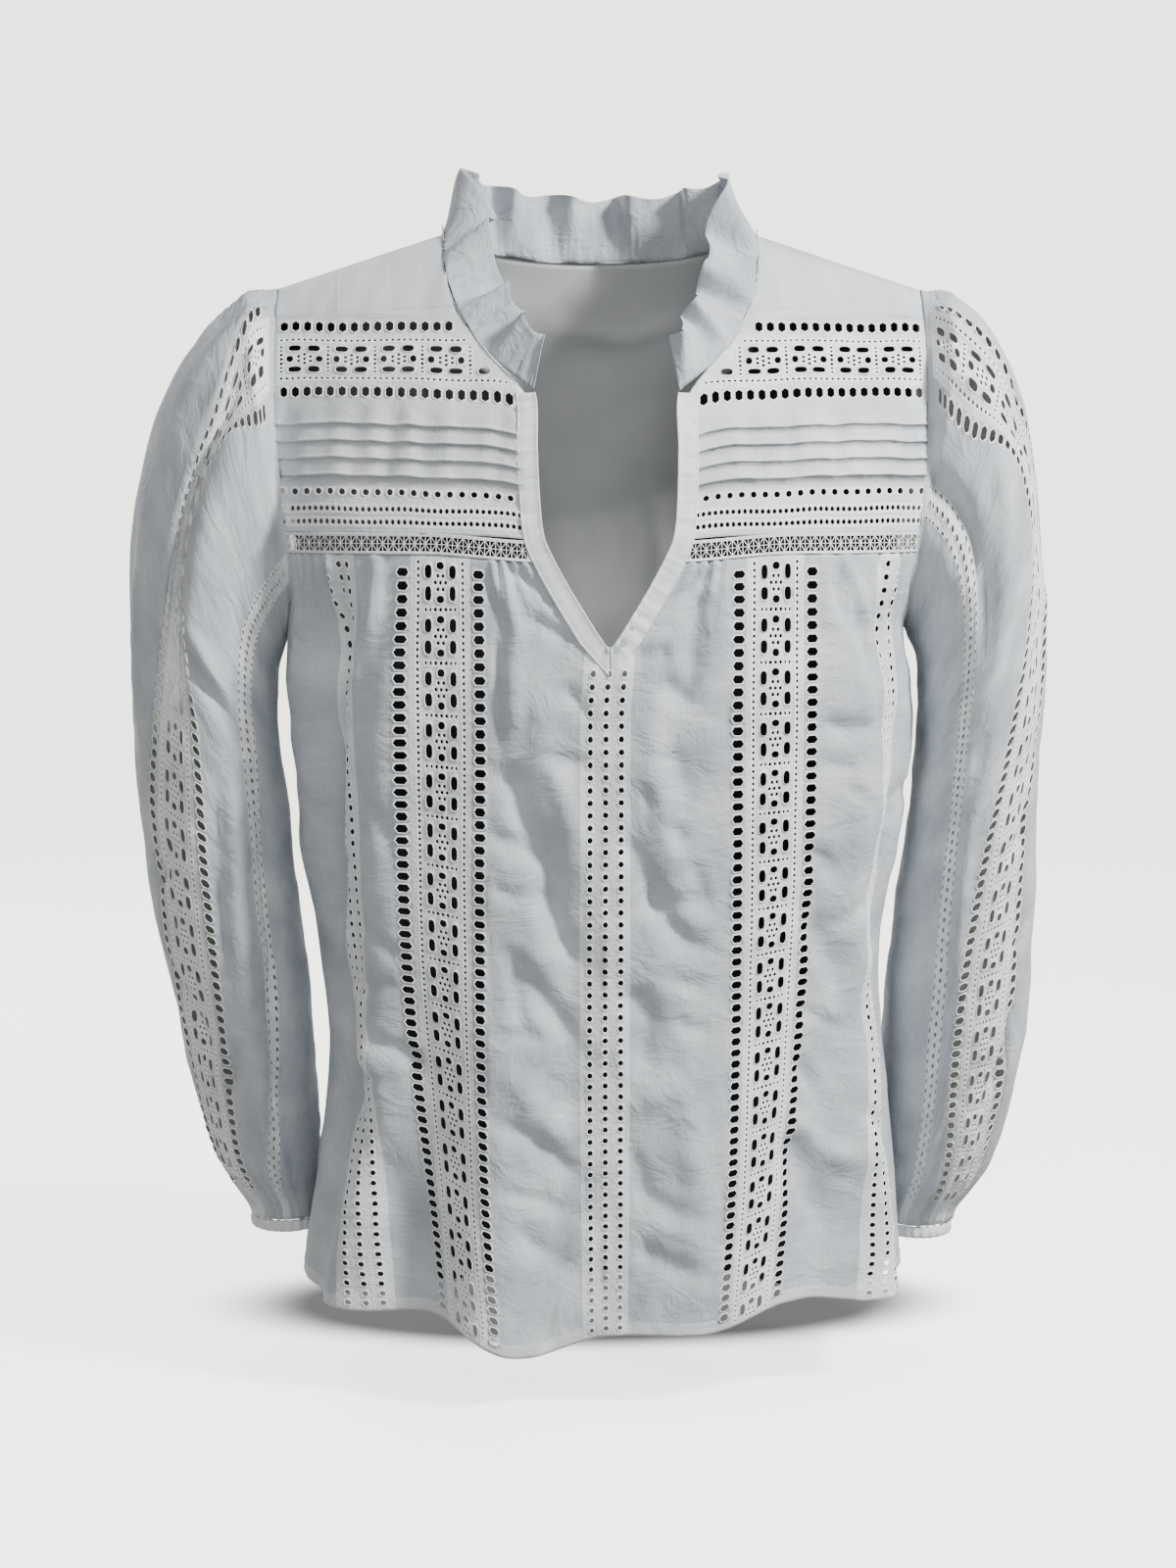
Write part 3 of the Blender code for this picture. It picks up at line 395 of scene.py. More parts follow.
voile = makeCotton("cottonVoile", "voile")  # plain cloth of the panels and sleeves
doubledAndLitVoile = makeCotton("cottonVoileDoubledAndLit", "doubledAndLit")  # the yokes and the turned hem, paler because two layers lie together; on the yokes the paler tone is also painted light
satinStitch = makeCotton("cottonSatinStitch", "stitch")  # bright raised rims of the eyelets
ground = makeCotton("embroideredCotton", "ground")  # cloth between small eyelets, worked all over with thread
trimCotton = makeCotton("cottonTrim", "trim")
# inner faces in painted shade, with painted light by the neck
insidePaintedShade = makeInsidePaintedShade("cottonInsidePaintedShade", paintedInsideShade["deep"])
insideSleeve = makeInsidePaintedShade("cottonInsideSleeve", paintedInsideShade["sleeve"])
print("materials made")


# Cutwork. Rings round a hole: shares of its cell's half width and half height, lift in millimetres, and a shift
# along the cell. A ring with no lift leaves plain cloth outside it; the others are stitched.
holeKinds = {
    "ladder": {"rings": [(0.90, 0.94, 0.0, 0.0), (0.82, 0.84, 0.60, 0.0), (0.72, 0.70, 0.25, 0.0)], "power": 2.5},
    "slotAbove": {"rings": [(0.99, 0.80, 0.0, 0.18), (0.90, 0.78, 0.60, 0.21), (0.74, 0.71, 0.2, 0.25)], "power": 2.8},
    "slotBelow": {"rings": [(0.99, 0.80, 0.0, -0.18), (0.90, 0.78, 0.60, -0.21), (0.74, 0.71, 0.2, -0.25)], "power": 2.8},
    "opening": {"rings": [(0.96, 0.80, 0.0, 0.0), (0.86, 0.72, 0.50, 0.0), (0.72, 0.58, 0.2, 0.0)], "power": 2.2},
    "eyelet": {"rings": [(0.98, 0.84, 0.0, 0.0), (0.86, 0.70, 0.45, 0.0), (0.66, 0.50, 0.15, 0.0)], "power": 2.0},
    "tiny": {"rings": [(0.86, 0.96, 0.40, 0.0), (0.54, 0.70, 0.1, 0.0)], "power": 2.0},
    "pin": {"rings": [(0.68, 0.66, 0.15, 0.0)], "power": 2.0},
}

# Lines across the wide band, in millimetres from its middle.
bandLines = [-29.5, -19, -15.8, -12.6, -10.6, -7.75, -4.9, -3.25, -1.6, 0, 1.6, 3.25, 4.9, 7.75, 10.6, 12.6, 15.8, 19, 29.5]

# One motif of the wide band: eighths along it, then lines across it. The flower's middle is in eighth 0.
bandTile = [(k, k + 2, a, a + 1, "ladder") for k in (0, 2, 4, 6) for a in (0, 17)]
bandTile += [(k, k + 1, a, a + 1, "pin") for k in range(8) for a in (2, 15)]
bandTile += [(k, k + 3, a, a + 2, kind) for k, kind in ((1, "slotAbove"), (5, "slotBelow")) for a in (4, 12)]
bandTile += [(2, 4, 7, 11, "opening"), (5, 7, 7, 11, "opening")]
bandTile += [(k, k + 1, a, a + 2, "pin") for k in (1, 7) for a in (7, 9)]
bandTile += [(0, 1, a, a + 2, "pin") for a in (6, 8, 10)]
bandTile += [(4, 5, a, b, "pin") for a, b in ((4, 5), (5, 6), (6, 8), (8, 10), (10, 12), (12, 13), (13, 14))]


# A flat grid on these lines, and its faces by row and column.
def flatSheet(acrossLines, levelLines):
    mesh = bmesh.new()
    columns, rows = len(acrossLines) - 1, len(levelLines) - 1
    bmesh.ops.create_grid(mesh, x_segments=columns, y_segments=rows, size=1)
    mesh.verts.ensure_lookup_table()
    mesh.faces.ensure_lookup_table()
    for number, vertex in enumerate(mesh.verts):
        row, column = divmod(number, columns + 1)
        vertex.co = (acrossLines[column], levelLines[row], 0.0)
    if levelLines[0] > levelLines[-1]:
        bmesh.ops.reverse_faces(mesh, faces=mesh.faces)
    cells = [[mesh.faces[row * columns + column] for column in range(columns)] for row in range(rows)]
    return mesh, cells


# Opens the holes: each is a block of cells, given as first and last column line, then row line, and a kind.
# On a band that runs sideways the holes are turned.
def openHoles(mesh, cells, holes, turned=False):
    byKind = {}
    for left, right, low, high, kind in holes:
        block = [cells[row][column] for row in range(low, high) for column in range(left, right)]
        if not all(face.is_valid for face in block):
            continue
        if len(block) > 1:
            block = bmesh.ops.dissolve_faces(mesh, faces=block)["region"]
        face = block[0]
        spots = [vertex.co for vertex in face.verts]
        lowest = Vector((min(p.x for p in spots), min(p.y for p in spots)))
        highest = Vector((max(p.x for p in spots), max(p.y for p in spots)))
        byKind.setdefault(kind, []).append((face, (lowest + highest) / 2, (highest - lowest) / 2))
    for kind, found in byKind.items():
        power = holeKinds[kind]["power"]
        for shareAcross, shareAlong, lift, shift in holeKinds[kind]["rings"]:
            made = bmesh.ops.inset_individual(mesh, faces=[face for face, _, _ in found], thickness=0.02)
            if lift:
                for face in made["faces"]:
                    face.material_index = 1
            for face, middle, half in found:
                uneven = 1 + 0.13 * noise.noise(Vector((middle.x * 0.31, middle.y * 0.31, 9.0)))
                wide, high = half.x * shareAcross * uneven, half.y * shareAlong / uneven
                moved = Vector((0, half.y * shift))
                if turned:
                    wide, high = half.x * shareAlong / uneven, half.y * shareAcross * uneven
                    moved = Vector((half.x * shift, 0))
                shapeRing(face, middle + moved, wide, high, power, lift)
        bmesh.ops.delete(mesh, geom=[face for face, _, _ in found], context="FACES_ONLY")


# Moves a face's corners to an even ring on a rounded oval.
def shapeRing(face, middle, halfAcross, halfAlong, power, lift):
    corners = [loop.vert for loop in face.loops]
    step = 2 * math.pi / len(corners)
    turns = [math.atan2(v.co.y - middle.y, v.co.x - middle.x) - k * step for k, v in enumerate(corners)]
    start = math.atan2(sum(map(math.sin, turns)), sum(map(math.cos, turns)))
    for k, vertex in enumerate(corners):
        cosine, sine = math.cos(start + k * step), math.sin(start + k * step)
        vertex.co.x = middle.x + halfAcross * math.copysign(abs(cosine) ** (2 / power), cosine)
        vertex.co.y = middle.y + halfAlong * math.copysign(abs(sine) ** (2 / power), sine)
        vertex.co.z = lift


# Lays the flat mesh on the blouse: place gives a point and its direction out for a flat spot.
def layOn(mesh, place):
    uvMap = mesh.loops.layers.uv.new("clothMap")
    for face in mesh.faces:
        for loop in face.loops:
            loop[uvMap].uv = (loop.vert.co.x / 1000, loop.vert.co.y / 1000)
    outs = {}
    for vertex in mesh.verts:
        point, out = place(vertex.co.x, vertex.co.y)
        outs[vertex] = out
        vertex.co = point + out * vertex.co.z / 1000
    mesh.normal_update()
    if sum(face.normal.dot(outs[face.verts[0]]) for face in mesh.faces) < 0:
        bmesh.ops.reverse_faces(mesh, faces=mesh.faces)


def makePiece(mesh, name, materials, nodes, wall=None, lining=None):
    data = bpy.data.meshes.new(name)
    mesh.to_mesh(data)
    mesh.free()
    data.shade_smooth()
    piece = bpy.data.objects.new(name, data)
    bpy.context.scene.collection.objects.link(piece)
    for material in materials:
        data.materials.append(material)
    # inner faces take the inside with painted shade and painted light, unless a lining is given
    for _ in materials:
        data.materials.append(lining or insidePaintedShade)
    shell = piece.modifiers.new("Wall", "SOLIDIFY")
    shell.thickness = wall or body["wall"]
    shell.offset = -1
    shell.material_offset = len(materials)
    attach(piece, "root")
    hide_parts(*nodes)
    return piece


# Marks the cells between these column lines and row lines as embroidered cloth.
def embroider(cells, left, right, top, bottom):
    for line in cells[top:bottom]:
        for face in line[left:right]:
            face.material_index = 2


def nearest(lines, value):
    return min(range(len(lines)), key=lambda k: abs(lines[k] - value))


# Lines from a to b about this far apart, without the last.
def steps(a, b, gap):
    count = max(round(abs(b - a) / gap), 1)
    return [a + (b - a) * k / count for k in range(count)]


# Front panel

frontPanel = {
    "ladder": sorted([  # z, then x of the inner and outer ladders of each wide band
        (-0.195, 0.0760, 0.1190), (-0.290, 0.0750, 0.1190), (-0.380, 0.0755, 0.1180),
        (-0.470, 0.0750, 0.1150), (-0.560, 0.0720, 0.1080), (-0.640, 0.0660, 0.0970),
    ]),
    "pitch": 7.9, "pitchLoss": 0.0165,  # millimetres between ladder eyelets, and how that shrinks
    "bandStart": 70.0, "bandEnd": 129.0, "sideEnd": 229.0,
    "gatherGap": 3.0, "hemLevel": -645.0, "hemDepth": 9.0,
    "narrowBand": {-1: 152.0, 1: 170.0},  # where the side bands of small eyelets start, from the middle
    "narrowLines": [0, 3.8, 6.8, 10.8, 13.8, 17.6], "middleShift": 0.0022,
    "crumple": 1.5,
}
# Gathers under the yoke seam: flat place from the middle, height, half width, length, slant, all in millimetres.
frontGathers = {
    -1: [
        (64, 1.6, 2.2, 110, -2), (58.5, -1.6, 1.9, 90, -4), (53.5, 1.7, 2.4, 85, -6), (47.5, -1.3, 2.0, 55, -8),
        (42.5, 1.5, 2.4, 70, -9), (37, -1.2, 2.0, 45, -9), (31, 1.2, 2.4, 55, -8), (25, -1.0, 2.0, 36, -6),
        (19, 1.0, 2.4, 40, -4), (12, -0.8, 2.0, 26, 0),
        (132.5, -1.7, 2.0, 70, 3), (137.5, 2.2, 2.6, 125, 5), (143, -1.2, 2.0, 60, 5), (159.5, -2.4, 2.4, 95, 8),
        (165.5, 2.6, 2.8, 120, 9), (171.5, -2.2, 2.2, 75, 9), (177.5, 2.3, 2.6, 90, 10), (183.5, -2.0, 2.2, 60, 10),
        (189.5, 2.0, 2.4, 70, 8), (195.5, -1.8, 2.2, 50, 8), (201.5, 1.8, 2.4, 60, 6), (208, -1.5, 2.2, 45, 4),
        (215, 1.4, 2.4, 40, 2),
    ],
    1: [
        (65, 1.2, 2.2, 60, -3), (60, -1.4, 2.0, 45, -4), (55, 1.3, 2.4, 80, -7), (49, -1.5, 2.2, 70, -9),
        (43, 1.2, 2.4, 60, -9), (37, -1.0, 2.0, 36, -9), (31, 1.0, 2.4, 46, -8), (25, -0.8, 2.0, 30, -6),
        (18, 0.8, 2.4, 30, -4),
        (132.5, 1.5, 2.4, 60, 3), (137.5, -1.6, 2.0, 85, 8), (142.5, 2.2, 2.4, 120, 10), (147.5, -1.4, 2.0, 70, 10),
        (160.5, 1.8, 2.6, 90, 9), (166.5, -2.2, 2.4, 80, 9), (172.5, 2.4, 2.6, 110, 9), (178.5, -2.0, 2.4, 60, 9),
        (184.5, 2.0, 2.6, 70, 8), (190.5, -1.9, 2.2, 50, 8), (197, 1.8, 2.4, 60, 6), (204, -1.6, 2.2, 45, 5),
        (211, 1.4, 2.4, 40, 3),
    ],
}
# Creases, a table a side: depth, half width, then distance from the middle and height, in millimetres.
frontCreases = {
    -1: [
        (3.3, 6, [(131, -201), (146, -253), (149, -282), (150, -312), (152, -357), (153, -410), (156, -451)]),
        (-4.8, 7.5, [(157, -210), (161, -246), (160, -290), (161, -335), (166, -397), (169, -451)]),
        (3.4, 7, [(173, -202), (183, -241), (182, -278), (176, -323), (174, -384), (173, -416)]),
        (-3.0, 12, [(162, -502), (143, -524), (130, -560), (123, -595), (114, -633)]),
        (-2.2, 5, [(138, -474), (116, -486), (111, -493)]),
        (-1.8, 5, [(156, -500), (129, -502)]),
        (-1.6, 5, [(121, -440), (135, -447), (157, -448)]),
        (-1.5, 4, [(143, -410), (126, -420), (122, -432)]),
        (1.8, 6, [(143, -443), (140, -478), (132, -506)]),
        (-1.6, 4, [(139, -332), (129, -346), (127, -358)]),
        (-1.4, 4, [(148, -366), (154, -376), (162, -389)]),
        (-2.0, 2.2, [(72, -198), (63, -230), (65, -279), (63, -307)]),
        (2.0, 5, [(65, -201), (54, -232), (56, -277), (55, -306)]),
        (-1.8, 3.2, [(59, -196), (43, -208), (32, -222)]),
        (-1.8, 3.8, [(48, -226), (34, -232), (18, -243)]),
        (-4.2, 7.5, [(65, -313), (55, -324), (49, -343), (34, -375), (32, -413)]),
        (-3.0, 7, [(60, -421), (45, -441), (32, -459), (14, -483)]),
        (-2.2, 5, [(58, -432), (53, -450), (52, -466)]),
        (-3.2, 7, [(41, -380), (29, -413), (14, -431)]),
        (-2.6, 6, [(67, -520), (38, -536), (16, -558)]),
        (2.2, 9, [(64, -487), (38, -517), (25, -541)]),
        (-2.0, 7, [(56, -582), (42, -596), (20, -610)]),
        (-1.8, 4, [(41, -305), (27, -310), (11, -309)]),
        (-2.2, 5, [(70, -352), (52, -360), (38, -369)]),
        (-1.6, 4, [(68, -383), (52, -390), (42, -389)]),
        (2.4, 9, [(42, -268), (39, -300), (24, -340), (17, -368)]),
        (-1.8, 4, [(27, -266), (18, -275), (12, -287)]),
        (-1.5, 4, [(66, -473), (49, -471), (35, -475)]),
        (-1.5, 4, [(64, -562), (47, -566), (18, -576)]),
        (1.8, 8, [(26, -403), (35, -415), (52, -438)]),
    ],
    1: [
        (-2.0, 3.0, [(60, -198), (39, -218), (15, -241)]),
        (-2.8, 6, [(54, -208), (49, -244), (46, -273)]),
        (-2.2, 5, [(36, -247), (24, -248), (10, -250)]),
        (-3.0, 7, [(31, -263), (41, -272), (49, -275)]),
        (-2.6, 7, [(34, -302), (40, -314), (46, -330)]),
        (-1.8, 4, [(19, -324), (22, -331), (26, -342)]),
        (-3.0, 7, [(10, -353), (25, -382), (30, -405)]),
        (-1.8, 5, [(37, -346), (40, -353), (44, -361)]),
        (-3.0, 7, [(20, -384), (43, -413), (61, -425)]),
        (-1.8, 5, [(33, -391), (45, -394), (57, -392)]),
        (-3.4, 9, [(12, -441), (23, -463), (20, -498)]),
        (-1.7, 5, [(32, -436), (45, -440), (59, -442)]),
        (2.2, 9, [(46, -499), (31, -506), (15, -509)]),
        (-2.2, 7, [(14, -557), (30, -572), (57, -583)]),
        (-2.4, 7, [(15, -593), (35, -606), (59, -613)]),
        (-1.7, 5, [(15, -540), (18, -550), (20, -561)]),
        (2.0, 9, [(45, -511), (49, -537), (46, -562)]),
        (-1.6, 4, [(40, -461), (48, -468), (61, -468)]),
        (2.2, 9, [(26, -286), (28, -317), (33, -351), (39, -380)]),
        (-1.6, 4, [(48, -368), (54, -382), (58, -398)]),
        (-2.0, 2.4, [(132, -196), (136, -217), (148, -243), (152, -258)]),
        (-2.0, 2.4, [(138, -196), (145, -224), (152, -240)]),
        (2.2, 4, [(142, -196), (154, -234), (158, -263)]),
        (-2.8, 5, [(126, -289), (140, -293), (155, -292)]),
        (-1.8, 4, [(127, -313), (136, -316), (146, -316)]),
        (-1.6, 4, [(140, -329), (147, -333), (152, -338)]),
        (-2.2, 6, [(189, -328), (179, -342), (174, -358)]),
        (-2.4, 6, [(121, -363), (129, -372), (136, -382)]),
        (-4.0, 9, [(119, -398), (138, -435), (145, -465), (136, -493)]),
        (-4.0, 11, [(110, -528), (118, -560), (130, -578), (146, -594)]),
        (-2.0, 4.5, [(115, -491), (122, -500), (130, -513)]),
        (2.8, 7, [(109, -521), (135, -548), (152, -555)]),
        (-1.7, 3.5, [(116, -458), (130, -467), (144, -475)]),
        (2.0, 8, [(154, -416), (161, -471), (163, -524)]),
        (-1.7, 4, [(150, -522), (163, -536), (168, -552)]),
        (-1.6, 4, [(152, -395), (141, -408), (131, -413)]),
    ],
}


frontCreases = {side: boxed(creases, 1.75) for side, creases in frontCreases.items()}


def frontLevels():
    levels = [body["panelTop"] * 1000]
    half = -1
    while True:
        number = half / 2
        level = -196.5 - (frontPanel["pitch"] * number - frontPanel["pitchLoss"] * number**2)
        if level < frontPanel["hemLevel"] + 1.5:
            break
        levels.append(level)
        half += 1
    return levels + [frontPanel["hemLevel"]]


def frontAcross():
    start, gap = frontPanel["bandStart"], frontPanel["gatherGap"]
    sides = {}
    for side, narrow in frontPanel["narrowBand"].items():
        lines = [2.5, 6.5, 11.5] + steps(14.5, start, gap)
        lines += [start + 29.5 + line for line in bandLines]
        lines += steps(frontPanel["bandEnd"], narrow, gap)[1:]
        lines += [narrow + line for line in frontPanel["narrowLines"]]
        lines += steps(narrow + 20.4, frontPanel["sideEnd"], gap) + [frontPanel["sideEnd"]]
        sides[side] = lines
    return [-line for line in reversed(sides[-1])] + sides[1]


# Where the front's flat spot lies: angle, height and flat reach from the middle.
def frontSpot(across, level):
    side = 1 if across > 0 else -1
    reach = abs(across)
    z = level / 1000
    vPoint = body["vPoint"]
    if z < vPoint:
        bandIn, bandOut, sideEnd = frontPanel["bandStart"] - 4, frontPanel["bandEnd"] + 4, frontPanel["sideEnd"]
        hemColumn = lineAt([(0, 0), (bandIn, 6), (bandOut, 11), (sideEnd, 22)], reach)
        hemZ = smoothAt(frontHem, side * 90 * hemColumn / 22)[0]
        z = vPoint + (hemZ - vPoint) * (z - vPoint) / (frontPanel["hemLevel"] / 1000 - vPoint)
    inner, outer = smoothAt(frontPanel["ladder"], z)
    middle, scale = (inner + outer) / 2, (outer - inner) / 48
    if reach <= frontPanel["bandStart"]:
        startX = 0.0025
        if z > vPoint:
            startX = max(smoothAt(neckEdge, z)[0] + body["seamGap"] / 2, 0.0025)
        endX = middle - 29.5 * scale
        if reach < 2.5:
            x = startX * reach / 2.5
        else:
            x = startX + (endX - startX) * (reach - 2.5) / (frontPanel["bandStart"] - 2.5)
        shift = frontPanel["middleShift"] * ease((vPoint - z) / 0.04) * (1 - ease((reach - 16) / 45))
        angle = angleOf(side * x - shift, z)
    elif reach <= frontPanel["bandEnd"]:
        angle = angleOf(side * (middle + (reach - frontPanel["bandStart"] - 29.5) * scale), z)
    else:
        first = abs(angleOf(side * (middle + 29.5 * scale), z))
        end = 90.0
        if z > body["underarm"]:
            end = abs(angleOf(side * smoothAt(armholeEdge, z)[0], z))
        share = (reach - frontPanel["bandEnd"]) / (frontPanel["sideEnd"] - frontPanel["bandEnd"])
        angle = side * (first + (90 - first) * share - (90 - end) * share * share)
    dip = seamDip(math.sin(math.radians(angle)) * 0.199) * (1 - ease((body["panelTop"] - z) / 0.03))
    return angle, z - dip, reach


def frontPlace(across, level):
    angle, z, reach = frontSpot(across, level)
    side = 1 if across > 0 else -1
    out = outwards(frontPoint, angle, z)
    point = frontPoint(angle, z)
    x = point.x * 1000
    down = (body["panelTop"] - z) * 1000
    moved = foldHeight(frontFolds, angle, z) * 1000
    moved += creaseHeight(frontCreases[side], abs(x), z * 1000)
    for middle, height, width, length, slant in frontGathers[side]:
        away = (reach - middle - slant * down / 100) / width
        if abs(away) < 2.5 and down < length:
            moved += height * ease(1 - down / length) * ease((down + 2) / 6) * math.exp(-(away**2))
    calm = 0.35 if frontPanel["bandStart"] < reach < frontPanel["bandEnd"] else 1.0
    moved += crumple(across, z * 1000, 3.0 + side, frontPanel["crumple"] * calm) * ease(down / 40)
    moved *= ease((90 - abs(angle)) / 5)
    if level < frontPanel["hemLevel"] + frontPanel["hemDepth"]:
        moved += 0.45
    return point + out * moved / 1000, out


def frontHoles(acrossLines, levels):
    holes = []
    motifs = math.ceil((len(levels) - 2) / 8)
    bandLow = acrossLines.index(frontPanel["bandStart"])
    mirrorLow = acrossLines.index(-frontPanel["bandEnd"])
    lastRow = len(levels) - 2
    for motif in range(motifs + 1):
        for a, b, left, right, kind in bandTile:
            # The rung is in the row line 1 above the first ladder eyelet.
            low, high = 8 * motif + a - 4, 8 * motif + b - 4
            if low < 1 or high > lastRow:
                continue
            for start in (bandLow, mirrorLow):
                holes.append((start + left, start + right, low, high, kind))
    middleColumn = acrossLines.index(-2.5)
    for row in range(1, lastRow - 1, 2):
        deep = levels[row]
        for column in (middleColumn, acrossLines.index(6.5), acrossLines.index(-11.5)):
            if deep < -251:
                holes.append((column, column + 1, row, row + 2, "eyelet"))
        for side, narrow in frontPanel["narrowBand"].items():
            for line in (0, 2, 4):
                start = frontPanel["narrowLines"][line if side > 0 else line + 1]
                column = nearest(acrossLines, side * (narrow + start))
                holes.append((column, column + 1, row, row + 2, "eyelet"))
    return holes


def buildFront():
    levels = frontLevels()
    acrossLines = frontAcross()
    mesh, cells = flatSheet(acrossLines, levels)
    split = acrossLines.index(-2.5)
    gap = [cells[row][split] for row in range(len(levels) - 1) if levels[row + 1] >= body["vPoint"] * 1000 - 0.5]
    for side, narrow in frontPanel["narrowBand"].items():
        ends = sorted(nearest(acrossLines, side * line) for line in (frontPanel["bandStart"] + 10.5, frontPanel["bandEnd"] - 10.5))
        embroider(cells, *ends, 0, len(levels) - 1)
        ends = sorted(nearest(acrossLines, side * line) for line in (narrow - 2.5, narrow + 20.4))
        embroider(cells, *ends, 0, len(levels) - 1)
    low = next(k for k in range(len(levels)) if levels[k] < -247)
    embroider(cells, acrossLines.index(-14.5), acrossLines.index(14.5), low, len(levels) - 1)
    for line, level in zip(cells, levels):
        for face in line:
            if level <= frontPanel["hemLevel"] + frontPanel["hemDepth"] and face.material_index == 0:
                face.material_index = 3
    openHoles(mesh, cells, frontHoles(acrossLines, levels))
    bmesh.ops.delete(mesh, geom=[face for face in gap if face.is_valid], context="FACES")
    layOn(mesh, frontPlace)
    return makePiece(mesh, "frontPanelCloth", [voile, satinStitch, ground, doubledAndLitVoile], ["front_panel"])


front = buildFront()
print("front panel made:", len(front.data.polygons), "faces")


# Yokes

yoke = {
    "motif": 28.0, "bandRow": -76.0,  # millimetres along one motif, and the band's middle level
    "squeeze": 0.80,  # the band is this much narrower than on the front panel
    "tucks": (-114.0, -124.0, -134.0, -144.0), "tuckHeight": 0.65, "tuckDrop": 0.9,
    "smallRows": (-154.0, -164.0, -171.6),
    "crumple": 0.45,
}
yokeDips = sorted([
    (-185, 4.5), (-178.5, 4.5), (-163, 7.5), (-144, 12.0), (-112, 14.5), (-99, 14.0), (-88, 6.5), (-76, 2.5),
    (-60, 0.0), (0, 0.0),
])


def yokeLevels():
    shoulder = [k / 6 for k in range(6)]  # shares of the way from the shoulder seam to the first row of eyelets
    middle = yoke["bandRow"]
    band = [middle - line * yoke["squeeze"] for line in bandLines]
    lines = band + [-104.5, -108.0]
    for tuck in yoke["tucks"]:
        lines += [tuck + 5.0, tuck + 2.0, tuck + 0.8, tuck + 0.3, tuck, tuck - 0.2]
    for row in yoke["smallRows"]:
        lines += [row + 2.9, row, row - 2.9]
    return shoulder, lines + [-176.6, -178.5]


def yokeSpot(across, level):
    armX = smoothAt(armholeEdge, max(level, -178.5) / 1000)[0]
    if level > 1:  # in the shoulder part the level holds two plus a share
        share = level - 2
        x = across / 1000
        first = yoke["bandRow"] + 29.5 * yoke["squeeze"]
        z = shoulderLine(x) * (1 - share) + first / 1000 * share
        armX = 0.195 + 0.0015 * share
    else:
        x = across / 1000
        z = level / 1000
    edge = smoothAt(neckEdge, z)[0] + body["seamGap"] / 2
    x = min(max(x, edge), armX)
    nearNeck = 1 - min(max((x - edge) / (armX - edge), 0.0), 1.0)
    if level < 1:
        z += 0.0019 * noise.noise(Vector((across * 0.026, level * 0.012, 17.0))) * ease((level + 178.5) / 12) * ease(nearNeck * 9)
        z -= smoothAt(yokeDips, level)[0] / 1000 * (0.25 * nearNeck**2 + 0.75 * nearNeck**8)
        edge = smoothAt(neckEdge, z)[0] + body["seamGap"] / 2
        x = min(max(x, edge), armX)
    return x, z


def yokePlaceOn(side):
    def place(across, level):
        x, z = yokeSpot(across, level)
        angle = angleOf(side * x, z)
        if level == 2:
            return Vector((side * x, -body["seamGap"] / 2, shoulderLine(x))), Vector((0, -0.2, 1)).normalized()
        out = outwards(frontPoint, angle, z)
        moved = crumple(across, level if level < 1 else z * 1000, 11.0 + side, yoke["crumple"])
        # Small upright puckers between the cutwork and the small eyelets
        near = ease((level + 151) / 5) * ease((-98 - level) / 8) if level < 1 else 0.5 * ease((level - 2) / 0.3)
        slant = across + (z * 1000 + 40) * (0.5 if level > 1 else 0.06)
        moved += near * 2.3 * noise.noise(Vector((slant * 0.095, z * 9, 5.0 + side)))
        moved += near * 0.7 * noise.noise(Vector((slant * 0.24, z * 14, 8.0 + side)))
        drop = 0.0
        for tuck in yoke["tucks"]:
            if abs(level - tuck) < 4:
                clear = ease((across - edgeOf(level) - 9) / 6)
                uneven = 1 + 0.25 * noise.noise(Vector((across * 0.06, tuck, 2.0)))
                shape = lineAt([(-0.2, 0.0), (0.0, 1.0), (0.3, 1.0), (0.8, 0.5), (2.0, 0.0)], level - tuck)
                moved += yoke["tuckHeight"] * shape * clear * uneven
                if level == tuck:
                    drop = yoke["tuckDrop"] * clear * uneven / 1000
        if level < -176:
            moved += 0.3
        return frontPoint(angle, z) + out * moved / 1000 - Vector((0, 0, drop)), out
    return place


def edgeOf(level):
    return (smoothAt(neckEdge, level / 1000)[0] + body["seamGap"] / 2) * 1000


